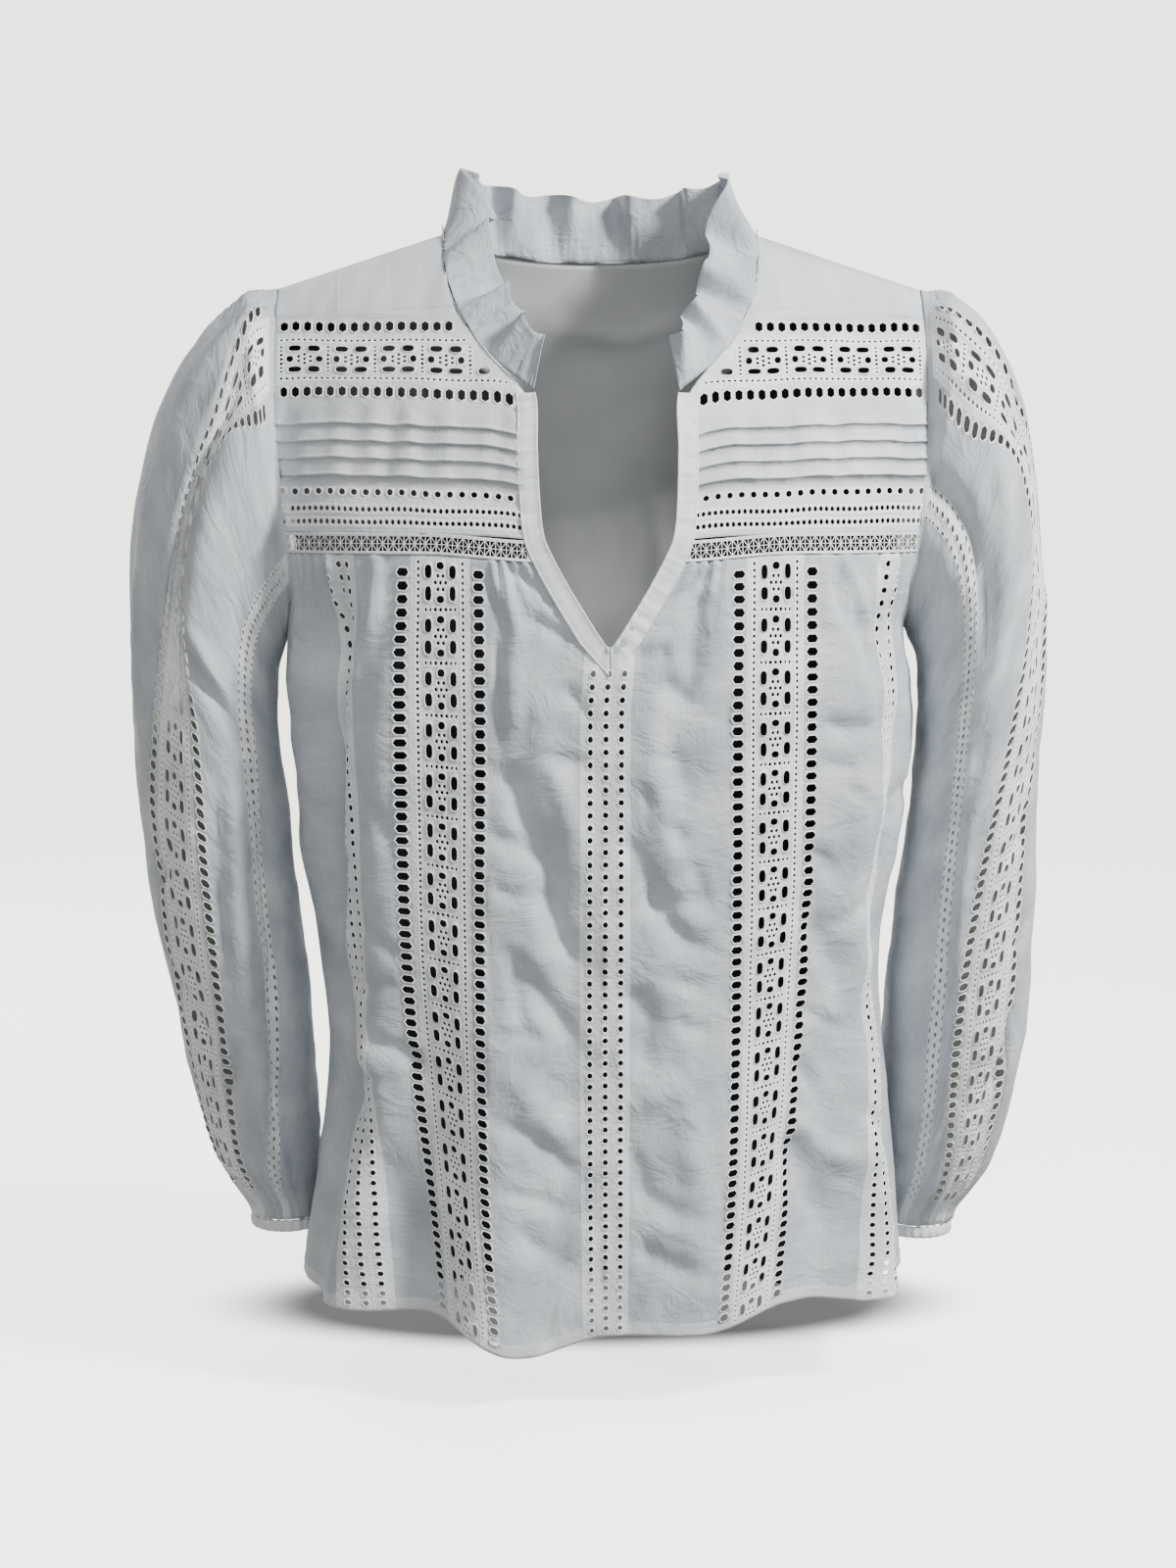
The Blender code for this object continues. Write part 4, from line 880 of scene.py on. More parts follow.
def buildYoke(side, word):
    eighth = yoke["motif"] / 8
    last = 193.2
    columns = math.floor((last - 38) / eighth)
    acrossLines = [last - eighth * k for k in range(columns, -1, -1)] + [197.5]
    shoulder, lines = yokeLevels()
    levels = [2 + share for share in shoulder] + lines
    mesh, cells = flatSheet(acrossLines, levels)
    first = len(shoulder)
    holes = []
    count = len(acrossLines) - 2
    for motif in range(-1, count // 8 + 2):
        for a, b, low, high, kind in bandTile:
            left, right = count - 4 - 8 * motif - b, count - 4 - 8 * motif - a
            top, bottom = first + low, first + high
            holes.append((left, right, top, bottom, kind))
    starts = [k for k in range(len(lines)) if lines[k] in [row + 2.9 for row in yoke["smallRows"]]]
    for number, start in enumerate(starts):
        for left in range(number % 2, count, 2 if number == 0 else 1):
            holes.append((left, left + (2 if number == 0 else 1), first + start, first + start + 2, "eyelet" if number == 0 else "tiny"))
    embroider(cells, 0, count + 1, first + 1, first + len(bandLines) - 2)
    embroider(cells, 0, count + 1, first + starts[0], len(levels) - 1)
    clear = []
    for left, right, top, bottom, kind in holes:
        if left < 0 or right > count:
            continue
        level = (levels[top] + levels[bottom]) / 2
        lowEdge = max(edgeOf(levels[top]), edgeOf(levels[bottom]))
        if acrossLines[left] > lowEdge + (9.0 if level < -96 else 4.0):
            clear.append((left, right, top, bottom, kind))
    openHoles(mesh, cells, clear, turned=True)
    # The cloth beyond the neck edge is cut away; what crosses the edge is drawn in to it.
    beyond = []
    for row, line in enumerate(cells):
        for column, face in enumerate(line):
            if not face.is_valid:
                continue
            top, bottom = levels[row], levels[row + 1]
            spots = [yokeSpot(x, level)[0] * 1000 for x in acrossLines[column:column + 2] for level in (top, bottom)]
            if max(spots) - min(spots) < 0.3:
                beyond.append(face)
    bmesh.ops.delete(mesh, geom=beyond, context="FACES")
    layOn(mesh, yokePlaceOn(side))
    # the yokes' paler doubled cloth is partly painted light
    return makePiece(mesh, f"yokeCloth_{word}", [doubledAndLitVoile, satinStitch, ground], [f"yoke_{word}"])


yokes = [buildYoke(side, word) for side, word in ((1, "left"), (-1, "right"))]
print("yokes made:", len(yokes[0].data.polygons), "faces each")


# Lace insertion between yoke and front panel

lace = {"star": 6.2, "border": 1.6, "spoke": 0.17, "height": 12.2, "top": 0.6}


def buildLace(side, word):
    def place(across, level):
        x = across / 1000
        dipped = -0.1787 + level / 1000
        z = dipped - seamDip(x)
        start = smoothAt(neckEdge, z)[0] + body["seamGap"] / 2
        x = max(x, start)
        angle = angleOf(side * x, z)
        out = outwards(frontPoint, angle, z)
        uneven = 0.25 * noise.noise(Vector((across * 0.07, level * 0.1, 50.0 + side)))
        return frontPoint(angle, z) + out * (0.4 + uneven) / 1000, out

    half = lace["star"] / 2
    count = int((189.5 - 34) / half) // 2 * 2
    acrossLines = [189.5 - half * k for k in range(count, -1, -1)]
    border, height = lace["border"], lace["height"]
    levels = [lace["top"] - line for line in (0, border / 2, border, height / 2, height - border, height - border / 2, height)]
    mesh, cells = flatSheet(acrossLines, levels)
    for row in (0, 5):
        for column in range(count):
            for vertex in cells[row][column].verts:
                vertex.co.z = 0.25
    stars = []
    for column in range(0, count, 2):
        block = [cells[row][column + k] for row in (2, 3) for k in (0, 1)]
        stars += bmesh.ops.dissolve_faces(mesh, faces=block)["region"]
    poked = bmesh.ops.poke(mesh, faces=stars)
    for vertex in poked["verts"]:
        vertex.co.z = 0.3
    made = bmesh.ops.inset_individual(mesh, faces=poked["faces"], thickness=lace["spoke"], use_even_offset=True)
    for face in made["faces"]:
        face.material_index = 1
    bmesh.ops.delete(mesh, geom=poked["faces"], context="FACES_ONLY")
    layOn(mesh, place)
    return makePiece(mesh, f"laceInsertion_{word}", [ground, satinStitch], [f"lace_{word}"], 0.0004)


laces = [buildLace(side, word) for side, word in ((1, "left"), (-1, "right"))]
print("lace made")


# Back panel

back = {"topRows": 44, "gap": 5.5, "across": 84, "hemDrop": 0.034, "hemDepth": 9.0, "crumple": 1.3}


# Creases over the back, as on the front: depth, half width, then place across and height, in millimetres.
backCreases = [
    (-2.4, 5, [(-150, -60), (-120, -92), (-96, -128)]), (2.0, 6, [(-128, -55), (-102, -96), (-84, -150)]),
    (-2.2, 5, [(152, -62), (126, -90), (98, -118)]), (-1.8, 4, [(60, -48), (20, -60), (-30, -54)]),
    (2.2, 7, [(-40, -96), (-52, -170), (-58, -240)]), (-2.6, 7, [(32, -110), (44, -190), (40, -262)]),
    (-2.8, 7, [(-172, -220), (-140, -262), (-98, -292)]), (-2.4, 6, [(168, -214), (132, -250), (102, -270)]),
    (-2.8, 8, [(-120, -330), (-82, -372), (-30, -396)]), (2.6, 8, [(96, -300), (70, -352), (60, -420)]),
    (-3.2, 8, [(140, -372), (112, -420), (66, -448)]), (-3.0, 8, [(-150, -420), (-118, -466), (-96, -528)]),
    (-2.4, 6, [(-18, -430), (14, -462), (52, -474)]), (2.6, 9, [(-60, -440), (-52, -520), (-66, -590)]),
    (-3.0, 8, [(28, -500), (40, -560), (34, -622)]), (-2.2, 5, [(150, -500), (124, -532), (92, -544)]),
    (2.4, 8, [(112, -520), (126, -580), (138, -625)]), (-2.4, 6, [(-150, -560), (-132, -600), (-120, -636)]),
]


backCreases = boxed(backCreases, 1.5)


def backTop(x):
    if abs(x) >= body["neckHalfWidth"]:
        return shoulderLine(x)
    return -0.013 * (1 - (abs(x) / body["neckHalfWidth"]) ** 2.5)


def backPlace(across, level):
    share = -across / 215  # the back is seen from behind, so it runs the other way
    hem = frontHem[0][1]
    if level > -235:
        down = (level + 8) / -227
        tipZ = shoulderLine(body["shoulderTipX"])
        armZ = tipZ + (body["underarm"] - tipZ) * max(down, 0.0)
        x = share * smoothAt(armholeEdge, armZ)[0]
        top = backTop(x)
        if level > -8.001:
            if abs(x) > body["neckHalfWidth"]:
                return Vector((x, body["seamGap"] / 2, top)), Vector((0, 0.2, 1)).normalized()
            z = top
        else:
            z = top + (body["underarm"] - top) * down
            z += (armZ - z) * abs(share) ** 6
        angle = angleOf(x, z)
    else:
        spread = angleOf(share * smoothAt(armholeEdge, body["underarm"])[0], body["underarm"])
        angle = spread + (90 * share - spread) * ease((-235 - level) / 150)
        down = (level + 235) / -410
        dropped = back["hemDrop"] * ease((84 - abs(angle)) / 30)
        z = body["underarm"] + (hem - dropped - body["underarm"]) * down
    out = outwards(backPoint, angle, z)
    moved = foldHeight(backFolds, angle, z) * 1000
    moved += crumple(across, level, 21.0, back["crumple"]) * ease((-level - 8) / 40)
    moved += creaseHeight(backCreases, backPoint(angle, z).x * 1000, z * 1000)
    moved *= ease((90 - abs(angle)) / 5) * ease((1 - abs(share)) / 0.05)
    if level < -636:
        moved += 0.45
    return backPoint(angle, z) + out * moved / 1000, out


def buildBack():
    acrossLines = [-215 + 430 * k / back["across"] for k in range(back["across"] + 1)]
    levels = steps(-8, -235, 227 / back["topRows"]) + steps(-235, -635.5, back["gap"]) + [-635.5, -636.5, -640.5, -645]
    mesh, _ = flatSheet(acrossLines, levels)
    layOn(mesh, backPlace)
    return makePiece(mesh, "backPanelCloth", [voile], ["back_panel"])


backPiece = buildBack()
print("back panel made")


# Sleeves

sleeve = {
    "motif": 30.0, "cutWidth": 420.0,
    "narrowBand": 80.0,  # flat place of the three rows of small eyelets, from the wide band's middle
    "capPleat": 2.6, "cuffGather": 2.4, "crumple": 1.3, "pleatDepth": 15.0,
    "folds": [  # top turn, low turn, depth, width in degrees, first and last ring
        (118.0, 124.0, -0.0040, 12.0, 3.0, 11.0), (-40.0, -50.0, -0.0050, 13.0, 2.0, 10.0),
        (-85.0, -90.0, 0.0050, 14.0, 2.0, 10.0), (-125.0, -120.0, -0.0040, 13.0, 4.0, 11.0),
    ],
}
# The bands' ways down each sleeve: ring, then turn from the outer side towards the front, in degrees.
bandTurns = {
    -1: [(0, 50), (1, 54), (2, 63), (3, 68), (4, 70), (5, 71), (6, 68), (7, 62), (8, 59), (9, 54), (10, 49), (11, 44), (13, 40)],
    1: [(0, 44), (1, 48), (2, 50), (3, 44), (4, 32), (5, 30), (6, 46), (7, 64), (8, 74), (9, 78), (10, 75), (11, 68), (13, 62)],
}
narrowTurns = {
    -1: [(0, 130), (2, 132), (4, 128), (8, 128), (9, 122), (10, 112), (11, 100), (13, 94)],
    1: [(0, 104), (2, 105), (4, 109), (6, 118), (8, 119), (10, 119), (13, 119)],
}
# How far a deep pleat swallows the wide band, from 0 to 1.
pleatShares = {
    -1: [(0, 0.0), (0.9, 0.0), (2.0, 0.8), (3.0, 0.9), (4.4, 0.9), (5.2, 0.75), (6.0, 0.3), (7.0, 0.0), (13, 0.0)],
    1: [(0, 0.0), (2.0, 0.0), (3.2, 0.35), (4.6, 0.45), (5.4, 0.25), (6.2, 0.0), (13, 0.0)],
}
# Creases, a table a sleeve: depth, half width, then turn in degrees (about a millimetre each) and height.
sleeveCreases = {
    -1: [
        (5.0, 8, [(82, -75), (84, -130), (84, -190), (80, -235)]), (-5.0, 6, [(106, -110), (116, -150), (117, -205), (112, -245)]),
        (-4.5, 5, [(78, -246), (88, -262), (105, -280), (123, -308)]), (3.0, 6, [(84, -240), (98, -258), (116, -280)]),
        (1.6, 2.6, [(102, -181), (90, -179), (80, -188)]), (-4.0, 6, [(134, -325), (133, -430), (120, -510), (106, -555)]),
        (-4.0, 4, [(88, -486), (79, -504), (70, -520)]), (-3.0, 8, [(58, -135), (50, -160)]),
        (3.0, 8, [(112, -320), (104, -400), (100, -470)]), (-2.6, 5, [(98, -330), (91, -400), (90, -450)]),
        (-2.4, 5, [(60, -360), (44, -385), (30, -392)]), (-2.4, 5, [(34, -440), (52, -470), (64, -500)]),
        (-2.0, 4, [(120, -350), (104, -362), (96, -380)]), (-2.0, 4, [(112, -430), (100, -446), (92, -450)]),
        (2.2, 6, [(30, -190), (24, -250), (28, -310)]), (-2.2, 5, [(22, -160), (14, -210), (16, -250)]),
        (-3.0, 7, [(-60, -150), (-66, -250), (-58, -330)]), (-3.5, 8, [(-110, -220), (-118, -330), (-105, -440)]),
        (3.0, 8, [(-85, -200), (-92, -330), (-84, -460)]), (-3.0, 5, [(-40, -390), (-62, -420), (-80, -440)]),
        (-2.6, 6, [(-20, -300), (-32, -360), (-52, -380)]), (-2.6, 5, [(-70, -500), (-84, -530), (-92, -560)]),
    ],
    1: [
        (-6.0, 5, [(92, -100), (97, -140), (97, -190), (98, -265)]), (-5.0, 5, [(46, -150), (56, -195), (71, -237), (84, -275)]),
        (5.0, 8, [(64, -130), (70, -180), (84, -236)]), (3.0, 7, [(112, -110), (116, -170), (118, -240)]),
        (-4.0, 5, [(50, -468), (56, -498), (68, -530)]), (-3.0, 6, [(130, -290), (132, -380), (130, -470)]),
        (2.5, 6, [(104, -330), (103, -420), (100, -510)]), (-2.4, 5, [(96, -300), (104, -330), (108, -372)]),
        (-2.6, 5, [(40, -340), (52, -362), (62, -370)]), (-2.2, 5, [(30, -410), (44, -428), (60, -430)]),
        (-2.6, 5, [(22, -90), (34, -110), (40, -140)]), (2.4, 6, [(20, -200), (18, -260), (24, -330)]),
        (-2.4, 5, [(90, -520), (98, -545), (104, -570)]), (-2.0, 4, [(118, -440), (108, -455), (100, -470)]),
        (-3.0, 7, [(-58, -140), (-64, -240), (-60, -320)]), (-3.5, 8, [(-112, -240), (-116, -340), (-108, -430)]),
        (3.0, 8, [(-88, -190), (-90, -320), (-86, -450)]), (-3.0, 5, [(-44, -370), (-60, -402), (-84, -430)]),
        (-2.6, 6, [(-24, -280), (-36, -340), (-50, -372)]), (-2.6, 5, [(-66, -500), (-80, -526), (-94, -556)]),
    ],
}


sleeveCreases = {side: boxed(creases, 1.4) for side, creases in sleeveCreases.items()}


def armholePoint(side, turn):
    tipZ = shoulderLine(body["shoulderTipX"])
    height = (tipZ - body["underarm"]) / 2
    z = body["underarm"] + height + height * math.cos(math.radians(turn))
    angle = side * angleOf(smoothAt(armholeEdge, z)[0], z)
    point = frontPoint(angle, z) if math.sin(math.radians(turn)) >= 0 else backPoint(angle, z)
    point.x += side * body["seamGap"]
    return point


def sleevePoint(side, rings, ring, turn):
    outerX, outerZ, innerX, innerZ, backY, depth = smoothAt(rings, max(ring, 1.0))
    cosine, sine = math.cos(math.radians(turn)), math.sin(math.radians(turn))
    reach = Vector(((outerX - innerX) / 2, 0, (outerZ - innerZ) / 2))
    out = reach.normalized() * cosine * depth + Vector((0, -1, 0)) * sine * reach.length
    point = Vector(((outerX + innerX) / 2, backY - sine * depth, (outerZ + innerZ) / 2)) + reach * cosine
    point.x *= side
    out.x *= side
    if ring < 1:
        point = armholePoint(side, turn).lerp(point, ring)
    return point, out.normalized()


def sleeveTurn(side, across, ring):
    width = sleeve["cutWidth"]
    band = smoothAt(bandTurns[side], ring)[0]
    narrow = smoothAt(narrowTurns[side], ring)[0]
    edge = 29.5 * 360 / width * (1 - 0.85 * smoothAt(pleatShares[side], ring)[0])
    rows = [(-29.5, band - edge), (29.5, band + edge), (sleeve["narrowBand"] - 10, narrow - 8.5)]
    rows += [(sleeve["narrowBand"] + 10, narrow + 8.5), (width - 29.5, band + 360 - edge)]
    if rows[2][1] < rows[1][1] + 2:
        rows[2] = (rows[2][0], rows[1][1] + 2)
    turn = lineAt(rows, across)
    return turn - 360 if turn > 180 else turn


def buildSleeve(side, word, table):
    rings = [(k + 1, *row) for k, row in enumerate(table)]
    last = len(table)
    # Flat lengths down the middle of the wide band, against the ring number
    lengths = [(0.0, 0.0)]
    for k in range(1, last * 20 + 1):
        here = sleevePoint(side, rings, k / 20, sleeveTurn(side, 0, k / 20))[0]
        there = sleevePoint(side, rings, (k - 1) / 20, sleeveTurn(side, 0, (k - 1) / 20))[0]
        lengths.append((lengths[-1][0] + (here - there).length * 1000, k / 20))
    total = lengths[-1][0]
    seed = 31.0 + side

    def place(across, level):
        ring = lineAt(lengths, -level)
        turn = sleeveTurn(side, across, ring)
        point, out = sleevePoint(side, rings, ring, turn)
        pleated = smoothAt(pleatShares[side], ring)[0]
        moved = -sleeve["pleatDepth"] * pleated * math.exp(-((across / 19) ** 2))
        moved += creaseHeight(sleeveCreases[side], turn, point.z * 1000) * ease(ring) * ease((last - ring) / 2)
        for topTurn, lowTurn, depth, width, firstRing, lastRing in sleeve["folds"]:
            middle = topTurn + (lowTurn - topTurn) * ring / last
            away = abs(turn - middle)
            away = min(away, 360 - away) / width
            if away < 3:
                grown = ease((ring - firstRing + 1) / 2) * ease((lastRing + 1 - ring) / 2)
                moved += depth * 1000 * grown * math.exp(-(away**2))
        pleat = math.sin(math.radians(turn) * 15 + 1.2 * noise.noise(Vector((turn * 0.06, 1.0, seed))))
        cap = sleeve["capPleat"] * ease(ring / 0.6) * (1 - ease((ring - 0.6) / 2.6)) * ease((80 - abs(turn)) / 25)
        moved += cap * pleat
        low = ease((ring - 9.6) / 2.2) * (1 - 0.55 * ease((ring - 11.8) / 1.2))
        wave = noise.noise(Vector((math.cos(math.radians(turn)) * 3.4, math.sin(math.radians(turn)) * 3.4, seed + ring * 0.05)))
        moved += sleeve["cuffGather"] * low * (1.5 * wave + 0.5 * math.sin(math.radians(turn) * 23 + 3 * wave))
        around = math.cos(math.radians(turn)) * 60, math.sin(math.radians(turn)) * 60
        soft = noise.noise(Vector((around[0] * 0.035, around[1] * 0.035, level * 0.022 + seed)))
        fine = noise.noise(Vector((around[0] * 0.09, around[1] * 0.09, level * 0.07 + seed)))
        moved += sleeve["crumple"] * (1.6 * soft + 0.6 * fine) * ease(ring / 1.5) * ease((last - ring) / 1.0)
        # The sewn edge lies just over the body's
        lip = math.exp(-((level / 2.0) ** 2))
        rise = Vector((-side * 1.6, -0.8 * math.sin(math.radians(turn)), 0.8 * math.cos(math.radians(turn))))
        return point + (out * moved + rise * lip) / 1000, out

    eighth = sleeve["motif"] / 8
    count = int(total / eighth)
    levels = [0.0, -1.6] + [-total * k / count for k in range(1, count + 1)]
    count += 1
    small = sleeve["narrowBand"]
    acrossLines = list(bandLines)
    acrossLines += steps(29.5, small - 10, 5.5)[1:] + [small + line for line in (-10, -7.5, -5.0, -2.2, 2.2, 5.0, 7.5, 10)]
    acrossLines += steps(small + 10, sleeve["cutWidth"] - 29.5, 5.6)[1:] + [sleeve["cutWidth"] - 29.5]
    mesh, cells = flatSheet(acrossLines, levels)
    holes = []
    for motif in range(count // 8 + 1):
        for a, b, left, right, kind in bandTile:
            top, bottom = 8 * motif + a - 2, 8 * motif + b - 2
            if top >= 3 and bottom <= count - 6:
                holes.append((left, right, top, bottom, kind))
    narrowStart = acrossLines.index(small - 7.5)
    embroider(cells, 1, len(bandLines) - 2, 2, count)
    embroider(cells, narrowStart, narrowStart + 5, 2, count)
    for row in range(3, count - 7, 2):
        for left, right, shift in ((narrowStart, narrowStart + 1, 0), (narrowStart + 2, narrowStart + 3, 1), (narrowStart + 4, narrowStart + 5, 0)):
            holes.append((left, right, row + shift, row + shift + 2, "eyelet"))
    openHoles(mesh, cells, holes)
    layOn(mesh, place)
    # The long edges meet along the back of the sleeve and are sewn together.
    bmesh.ops.remove_doubles(mesh, verts=mesh.verts, dist=0.00002)
    return makePiece(mesh, f"sleeveCloth_{word}", [voile, satinStitch, ground], [f"sleeve_{word}"], lining=insideSleeve), total


sleeves = [buildSleeve(side, word, table) for side, word, table in ((1, "left", leftSleeve), (-1, "right", rightSleeve))]
print("sleeves made:", len(sleeves[0][0].data.polygons), "faces each")


# Cuffs

cuff = {"height": 7.5, "gathers": 26, "gatherHeight": 0.55}


def buildCuff(side, word, table):
    outerX, outerZ, innerX, _, backY, depth = table[-1]

    def place(across, level):
        turn = 2 * math.pi * across / 188
        bulge = 0.0008 * (1 - (2 * level / cuff["height"] + 1) ** 2)
        gather = cuff["gatherHeight"] * math.sin(turn * cuff["gathers"] + 1.5 * noise.noise(Vector((across * 0.05, 0, side))))
        taken = 0.0012 - bulge - gather / 1000
        half = (outerX - innerX) / 2
        out = Vector((side * math.cos(turn), -math.sin(turn), 0))
        x = (outerX + innerX) / 2 + (half - taken) * math.cos(turn)
        return Vector((side * x, backY - (depth - taken) * math.sin(turn), outerZ - body["seamGap"] + level / 1000)), out

    acrossLines = [188 * k / 156 for k in range(157)]
    mesh, _ = flatSheet(acrossLines, [0, -1.2, -2.4, -3.8, -5.2, -6.4, -cuff["height"]])
    layOn(mesh, place)
    bmesh.ops.remove_doubles(mesh, verts=mesh.verts, dist=0.00002)
    return makePiece(mesh, f"cuffBand_{word}", [trimCotton], [f"cuff_{word}"], 0.0008, trimCotton)


cuffs = [buildCuff(side, word, table) for side, word, table in ((1, "left", leftSleeve), (-1, "right", rightSleeve))]
print("cuffs made")


# Binding of the split

binding = {"width": 12.0, "wrinkle": 0.50, "roll": 0.7, "rows": 110, "lift": 0.0005}


def bindingSpot(share, part):
    low = -0.235
    if part < 0.9:
        z = -0.097 + (low + 0.097) * part / 0.9
        x = smoothAt(neckEdge, z)[0]
        drift = smoothAt(neckEdge, z - 0.002)[0] - smoothAt(neckEdge, z + 0.002)[0]
        edge = Vector((-drift, -0.004)).normalized()
        turned = ease((-0.100 - z) / 0.014)
        acrossX = 1 + (abs(edge.y) - 1) * turned
        acrossZ = abs(edge.x) * turned
        width = body["seamGap"] / 2 + binding["width"] / 1000 * share
        return x + acrossX * width, z - acrossZ * width
    x, z = bindingSpot(share, 0.8999)
    endX, endZ = body["seamGap"] * (0.4 + 0.6 * share), body["vPoint"] + 0.0006 - 0.0150 * share
    along = (part - 0.9) / 0.1
    return x + (endX - x) * along, z + (endZ - z) * along


def buildBinding(side, word):
    def place(across, level):
        x, z = bindingSpot(across / binding["width"], -level / 160)
        angle = angleOf(side * x, z)
        out = outwards(frontPoint, angle, z)
        roll = binding["roll"] * math.exp(-((across / 1.6) ** 2))
        wrinkle = binding["wrinkle"] * noise.noise(Vector((across * 0.05, level * 0.30, 40.0 + side)))
        wrinkle += 0.5 * binding["wrinkle"] * noise.noise(Vector((across * 0.10, level * 0.62, 44.0 + side)))
        height = 0.55 + roll + wrinkle * 2 - 0.25 * math.exp(-(((across - 10.2) / 0.6) ** 2))
        moved = foldHeight(frontFolds, angle, z) + binding["lift"] + height / 1000
        return frontPoint(angle, z) + out * moved, out

    acrossLines = [0, 0.6, 1.3, 2.2, 3.6, 5.4, 7.4, 9.2, 9.8, 10.4, 11.0, 12.0]
    levels = [-160 * k / binding["rows"] for k in range(binding["rows"] + 1)]
    mesh, _ = flatSheet(acrossLines, levels)
    layOn(mesh, place)
    return makePiece(mesh, f"splitBinding_{word}", [trimCotton], [f"neck_binding_{word}"], 0.0008)


bindings = [buildBinding(side, word) for side, word in ((1, "left"), (-1, "right"))]
print("bindings made")


# Ruffle round the neck

ruffle = {
    "waves": 13, "swing": 9.0, "gap": -1.5, "perWave": 30,
    "shape": [  # share of the way round: height, then its lean across, back and up
        (0.00, 0.030, -0.10, -0.10, 1.00), (0.05, 0.031, -0.52, -0.04, 0.84), (0.10, 0.033, -0.76, 0.06, 0.62),
        (0.16, 0.034, -0.93, 0.16, 0.36), (0.22, 0.036, -0.84, 0.10, 0.60), (0.29, 0.042, -0.36, 0.00, 0.95),
        (0.38, 0.041, -0.02, -0.06, 1.00), (0.50, 0.040, 0.00, -0.04, 1.00),
    ],
}


def neckPath(count=240):
    half = []
    for k in range(count):
        z = (body["vCorner"] + 0.002) * (1 - k / count)
        x = smoothAt(neckEdge, z)[0]
        half.append(frontPoint(angleOf(x, z), z))
    behind = []
    for k in range(count + 1):
        x = body["neckHalfWidth"] * math.cos(math.pi * k / count)
        z = backTop(x)
        behind.append(backPoint(angleOf(x, z), z))
    return [Vector((-p.x, p.y, p.z)) for p in half] + behind[::-1] + half[::-1]


def buildRuffle():
    path = neckPath()
    lengths = [0.0]
    for a, b in zip(path, path[1:]):
        lengths.append(lengths[-1] + (b - a).length)

    def place(across, level):
        share = min(max(across / 1000, 0.0), 1.0)
        want = share * lengths[-1]
        k = min(max(bisect.bisect_left(lengths, want), 1), len(path) - 1)
        base = path[k - 1].lerp(path[k], (want - lengths[k - 1]) / max(lengths[k] - lengths[k - 1], 1e-9))
        direction = (path[min(k + 4, len(path) - 1)] - path[max(k - 5, 0)]).normalized()
        height, acrossLean, backLean, upLean = smoothAt(ruffle["shape"], min(share, 1 - share))
        lean = Vector((acrossLean * (1 if share > 0.5 else -1), backLean, upLean)).normalized()
        out = direction.cross(lean).normalized()
        up = level / 40
        turn = 2 * math.pi * ruffle["waves"] * share + 0.9 * noise.noise(Vector((across * 0.012, 1.0, 61.0)))
        wave = math.sin(turn + 0.7 * math.sin(turn + 0.6) + 0.5 * up)
        swing = ruffle["swing"] * up**0.8 * wave * (0.85 + 0.35 * noise.noise(Vector((across * 0.011, 4.0, 62.0))))
        swing += 1.6 * ease(up / 0.06) * (1 - 0.8 * ease((up - 0.08) / 0.5)) * noise.noise(Vector((across * 0.30, up, 60.0)))
        swing += 1.6 * up * noise.noise(Vector((across * 0.05, up * 2, 63.0)))
        dropped = 1.8 * up * math.cos(turn + 0.4) + 1.2 * up * noise.noise(Vector((across * 0.02, 7.0, 64.0)))
        middle = base + lean * (ruffle["gap"] / 1000 + height * up + dropped / 1000)
        return middle + out * (swing / 1000 + 0.0003), out

    acrossLines = [1000 * k / (ruffle["waves"] * ruffle["perWave"]) for k in range(ruffle["waves"] * ruffle["perWave"] + 1)]
    levels = [40, 39.0, 38.2, 36.5] + [40 * k / 12 for k in range(10, -1, -1)]
    mesh, cells = flatSheet(acrossLines, levels)
    for vertex in mesh.verts:
        if vertex.co.y > 38.5:
            vertex.co.z = 0.25
    layOn(mesh, place)
    return makePiece(mesh, "neckRuffleCloth", [voile], ["neck_ruffle"], 0.0004, voile)


rufflePiece = buildRuffle()
print("ruffle made")


# Camera, light and floor

view = {
    "target": (-0.0072, 0.0, -0.3330), "azimuth": -2.5, "elevation": 5.0, "distance": 2.2,
    "frameHeight": 0.96,  # metres of the photo's height at the target
}


def aim(thing, target):
    thing.rotation_mode = "QUATERNION"
    thing.rotation_quaternion = (target - thing.location).to_track_quat("-Z", "Y")


def makeCamera():
    azimuth, elevation = math.radians(view["azimuth"]), math.radians(view["elevation"])
    back = Vector((math.sin(azimuth) * math.cos(elevation), -math.cos(azimuth) * math.cos(elevation), math.sin(elevation)))
    camera = bpy.data.objects.new("Camera", bpy.data.cameras.new("Camera"))
    bpy.context.scene.collection.objects.link(camera)
    target = Vector(view["target"])
    camera.location = target + back * view["distance"]
    aim(camera, target)
    camera.data.sensor_width = 36.0
    camera.data.lens = 36.0 * view["distance"] / view["frameHeight"]
    bpy.context.scene.camera = camera


lights = {
    "key": {"place": (1.35, -1.0, 1.0), "size": 0.40, "power": 86.0, "colour": "#FFFEFB"},
    "front": {"place": (0.1, -2.4, 1.1), "size": 1.0, "power": 18.0, "colour": "#FBFCFF"},
    "rear": {"place": (-1.3, 1.9, 0.9), "size": 0.8, "power": 42.0, "colour": "#FBFCFF"},
}
studio = {
    "floorZ": -0.690, "floorColour": "#E9E8E4", "worldColour": "#ECEBE7", "worldStrength": 0.46, "floorGlow": 3.3,
    # a painted shadow under the blouse, in the floor's colour and glow
    "paintedShadowMiddle": (0.0, 0.15, -0.690), "paintedShadowSize": (0.212, 0.114, 1.0), "paintedShadowColour": "#3A3A3C",
}


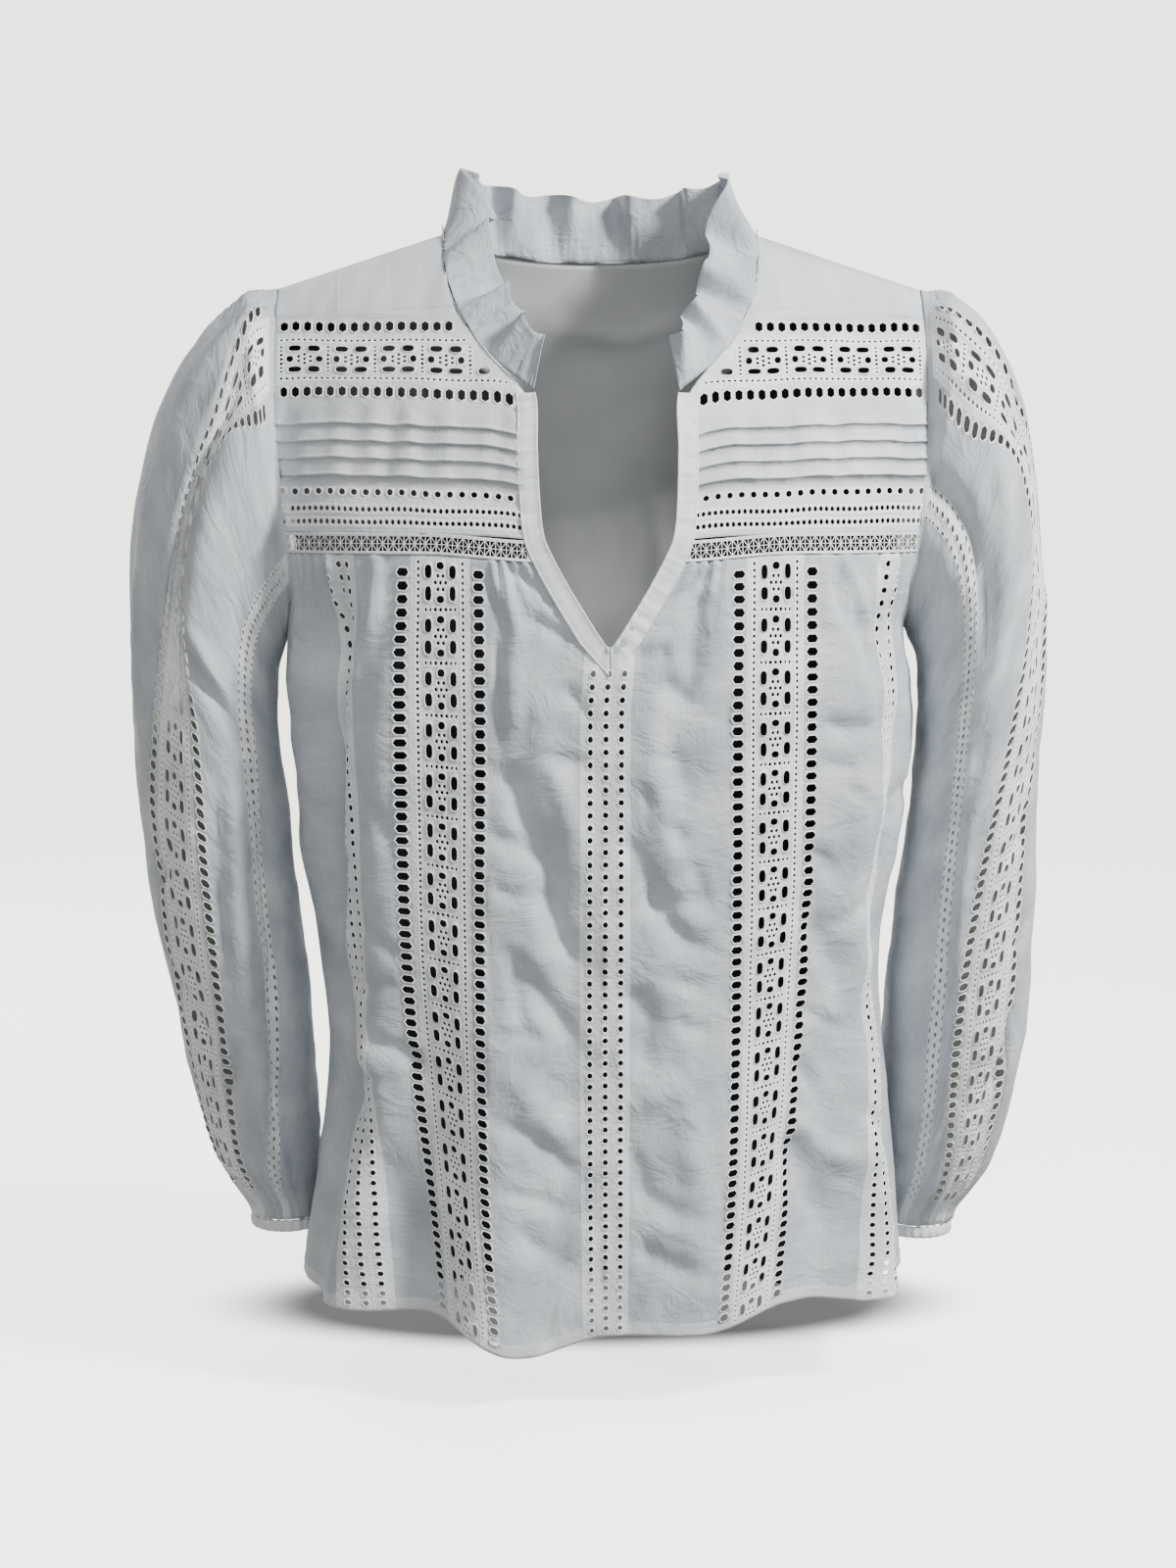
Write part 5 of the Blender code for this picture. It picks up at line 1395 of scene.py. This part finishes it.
def makeLights():
    for name, look in lights.items():
        lamp = bpy.data.lights.new(name, "AREA")
        lamp.shape = "DISK"
        lamp.size = look["size"]
        lamp.energy = look["power"]
        lamp.color = hexColour(look["colour"])[:3]
        thing = bpy.data.objects.new(name, lamp)
        bpy.context.scene.collection.objects.link(thing)
        thing.location = look["place"]
        thing.visible_camera = False
        aim(thing, Vector(view["target"]))
    world = bpy.data.worlds.new("Studio")
    bpy.context.scene.world = world
    world.use_nodes = True
    sky = world.node_tree.nodes["Background"]
    sky.inputs["Color"].default_value = hexColour(studio["worldColour"])
    sky.inputs["Strength"].default_value = studio["worldStrength"]


# A floor that curves up into a wall in front and behind, both beyond the camera's reach.
def makeFloor():
    mesh = bmesh.new()
    curve = [(3.0, 0.0), (3.6, 0.0), (4.2, 0.0), (4.8, 0.12), (5.2, 0.45), (5.4, 1.0), (5.4, 6.0)]
    edge = [mesh.verts.new((-20.0, -y, studio["floorZ"] + rise)) for y, rise in reversed(curve)]
    edge += [mesh.verts.new((-20.0, y, studio["floorZ"] + rise)) for y, rise in curve]
    line = [mesh.edges.new((edge[k], edge[k + 1])) for k in range(len(edge) - 1)]
    grown = bmesh.ops.extrude_edge_only(mesh, edges=line)["geom"]
    bmesh.ops.translate(mesh, verts=[g for g in grown if isinstance(g, bmesh.types.BMVert)], vec=(40.0, 0, 0))
    bmesh.ops.recalc_face_normals(mesh, faces=mesh.faces)
    data = bpy.data.meshes.new("floor")
    mesh.to_mesh(data)
    mesh.free()
    data.shade_smooth()
    floor = bpy.data.objects.new("floor", data)
    bpy.context.scene.collection.objects.link(floor)
    smooth = floor.modifiers.new("Smooth", "SUBSURF")
    smooth.levels = smooth.render_levels = 2
    material = bpy.data.materials.new("paperFloor")
    material.use_nodes = True
    tree = material.node_tree
    shader = tree.nodes["Principled BSDF"]
    # Painted shadow: the paper's colour and glow fade to a dark pool under the blouse, where little light comes; this
    # shows through the lowest eyelets.
    place = addNode(tree, "ShaderNodeTexCoord")
    centred = addNode(tree, "ShaderNodeVectorMath", {"operation": "SUBTRACT"}, {0: place.outputs["Object"]})
    centred.inputs[1].default_value = studio["paintedShadowMiddle"]
    scaled = addNode(tree, "ShaderNodeVectorMath", {"operation": "DIVIDE"}, {0: centred.outputs[0]})
    scaled.inputs[1].default_value = studio["paintedShadowSize"]
    away = addNode(tree, "ShaderNodeVectorMath", {"operation": "LENGTH"}, {0: scaled.outputs[0]})
    lit = addNode(tree, "ShaderNodeMapRange", {"From Min": 0.86, "From Max": 1.28, "interpolation_type": "SMOOTHSTEP"},
                  {"Value": away.outputs[1]})
    colour = addNode(tree, "ShaderNodeMix", {"data_type": "RGBA"}, {0: lit.outputs[0]})
    colour.inputs[6].default_value = hexColour(studio["paintedShadowColour"])
    colour.inputs[7].default_value = hexColour(studio["floorColour"])
    tree.links.new(colour.outputs[2], shader.inputs["Base Color"])
    tree.links.new(colour.outputs[2], shader.inputs["Emission Color"])
    shader.inputs["Roughness"].default_value = 0.9
    shader.inputs["Specular IOR Level"].default_value = 0.1
    shader.inputs["Emission Strength"].default_value = studio["floorGlow"]
    data.materials.append(material)
    floor.visible_diffuse = False  # the glow brightens the paper, not the blouse


makeCamera()
makeLights()
makeFloor()
print("camera, light and floor made")
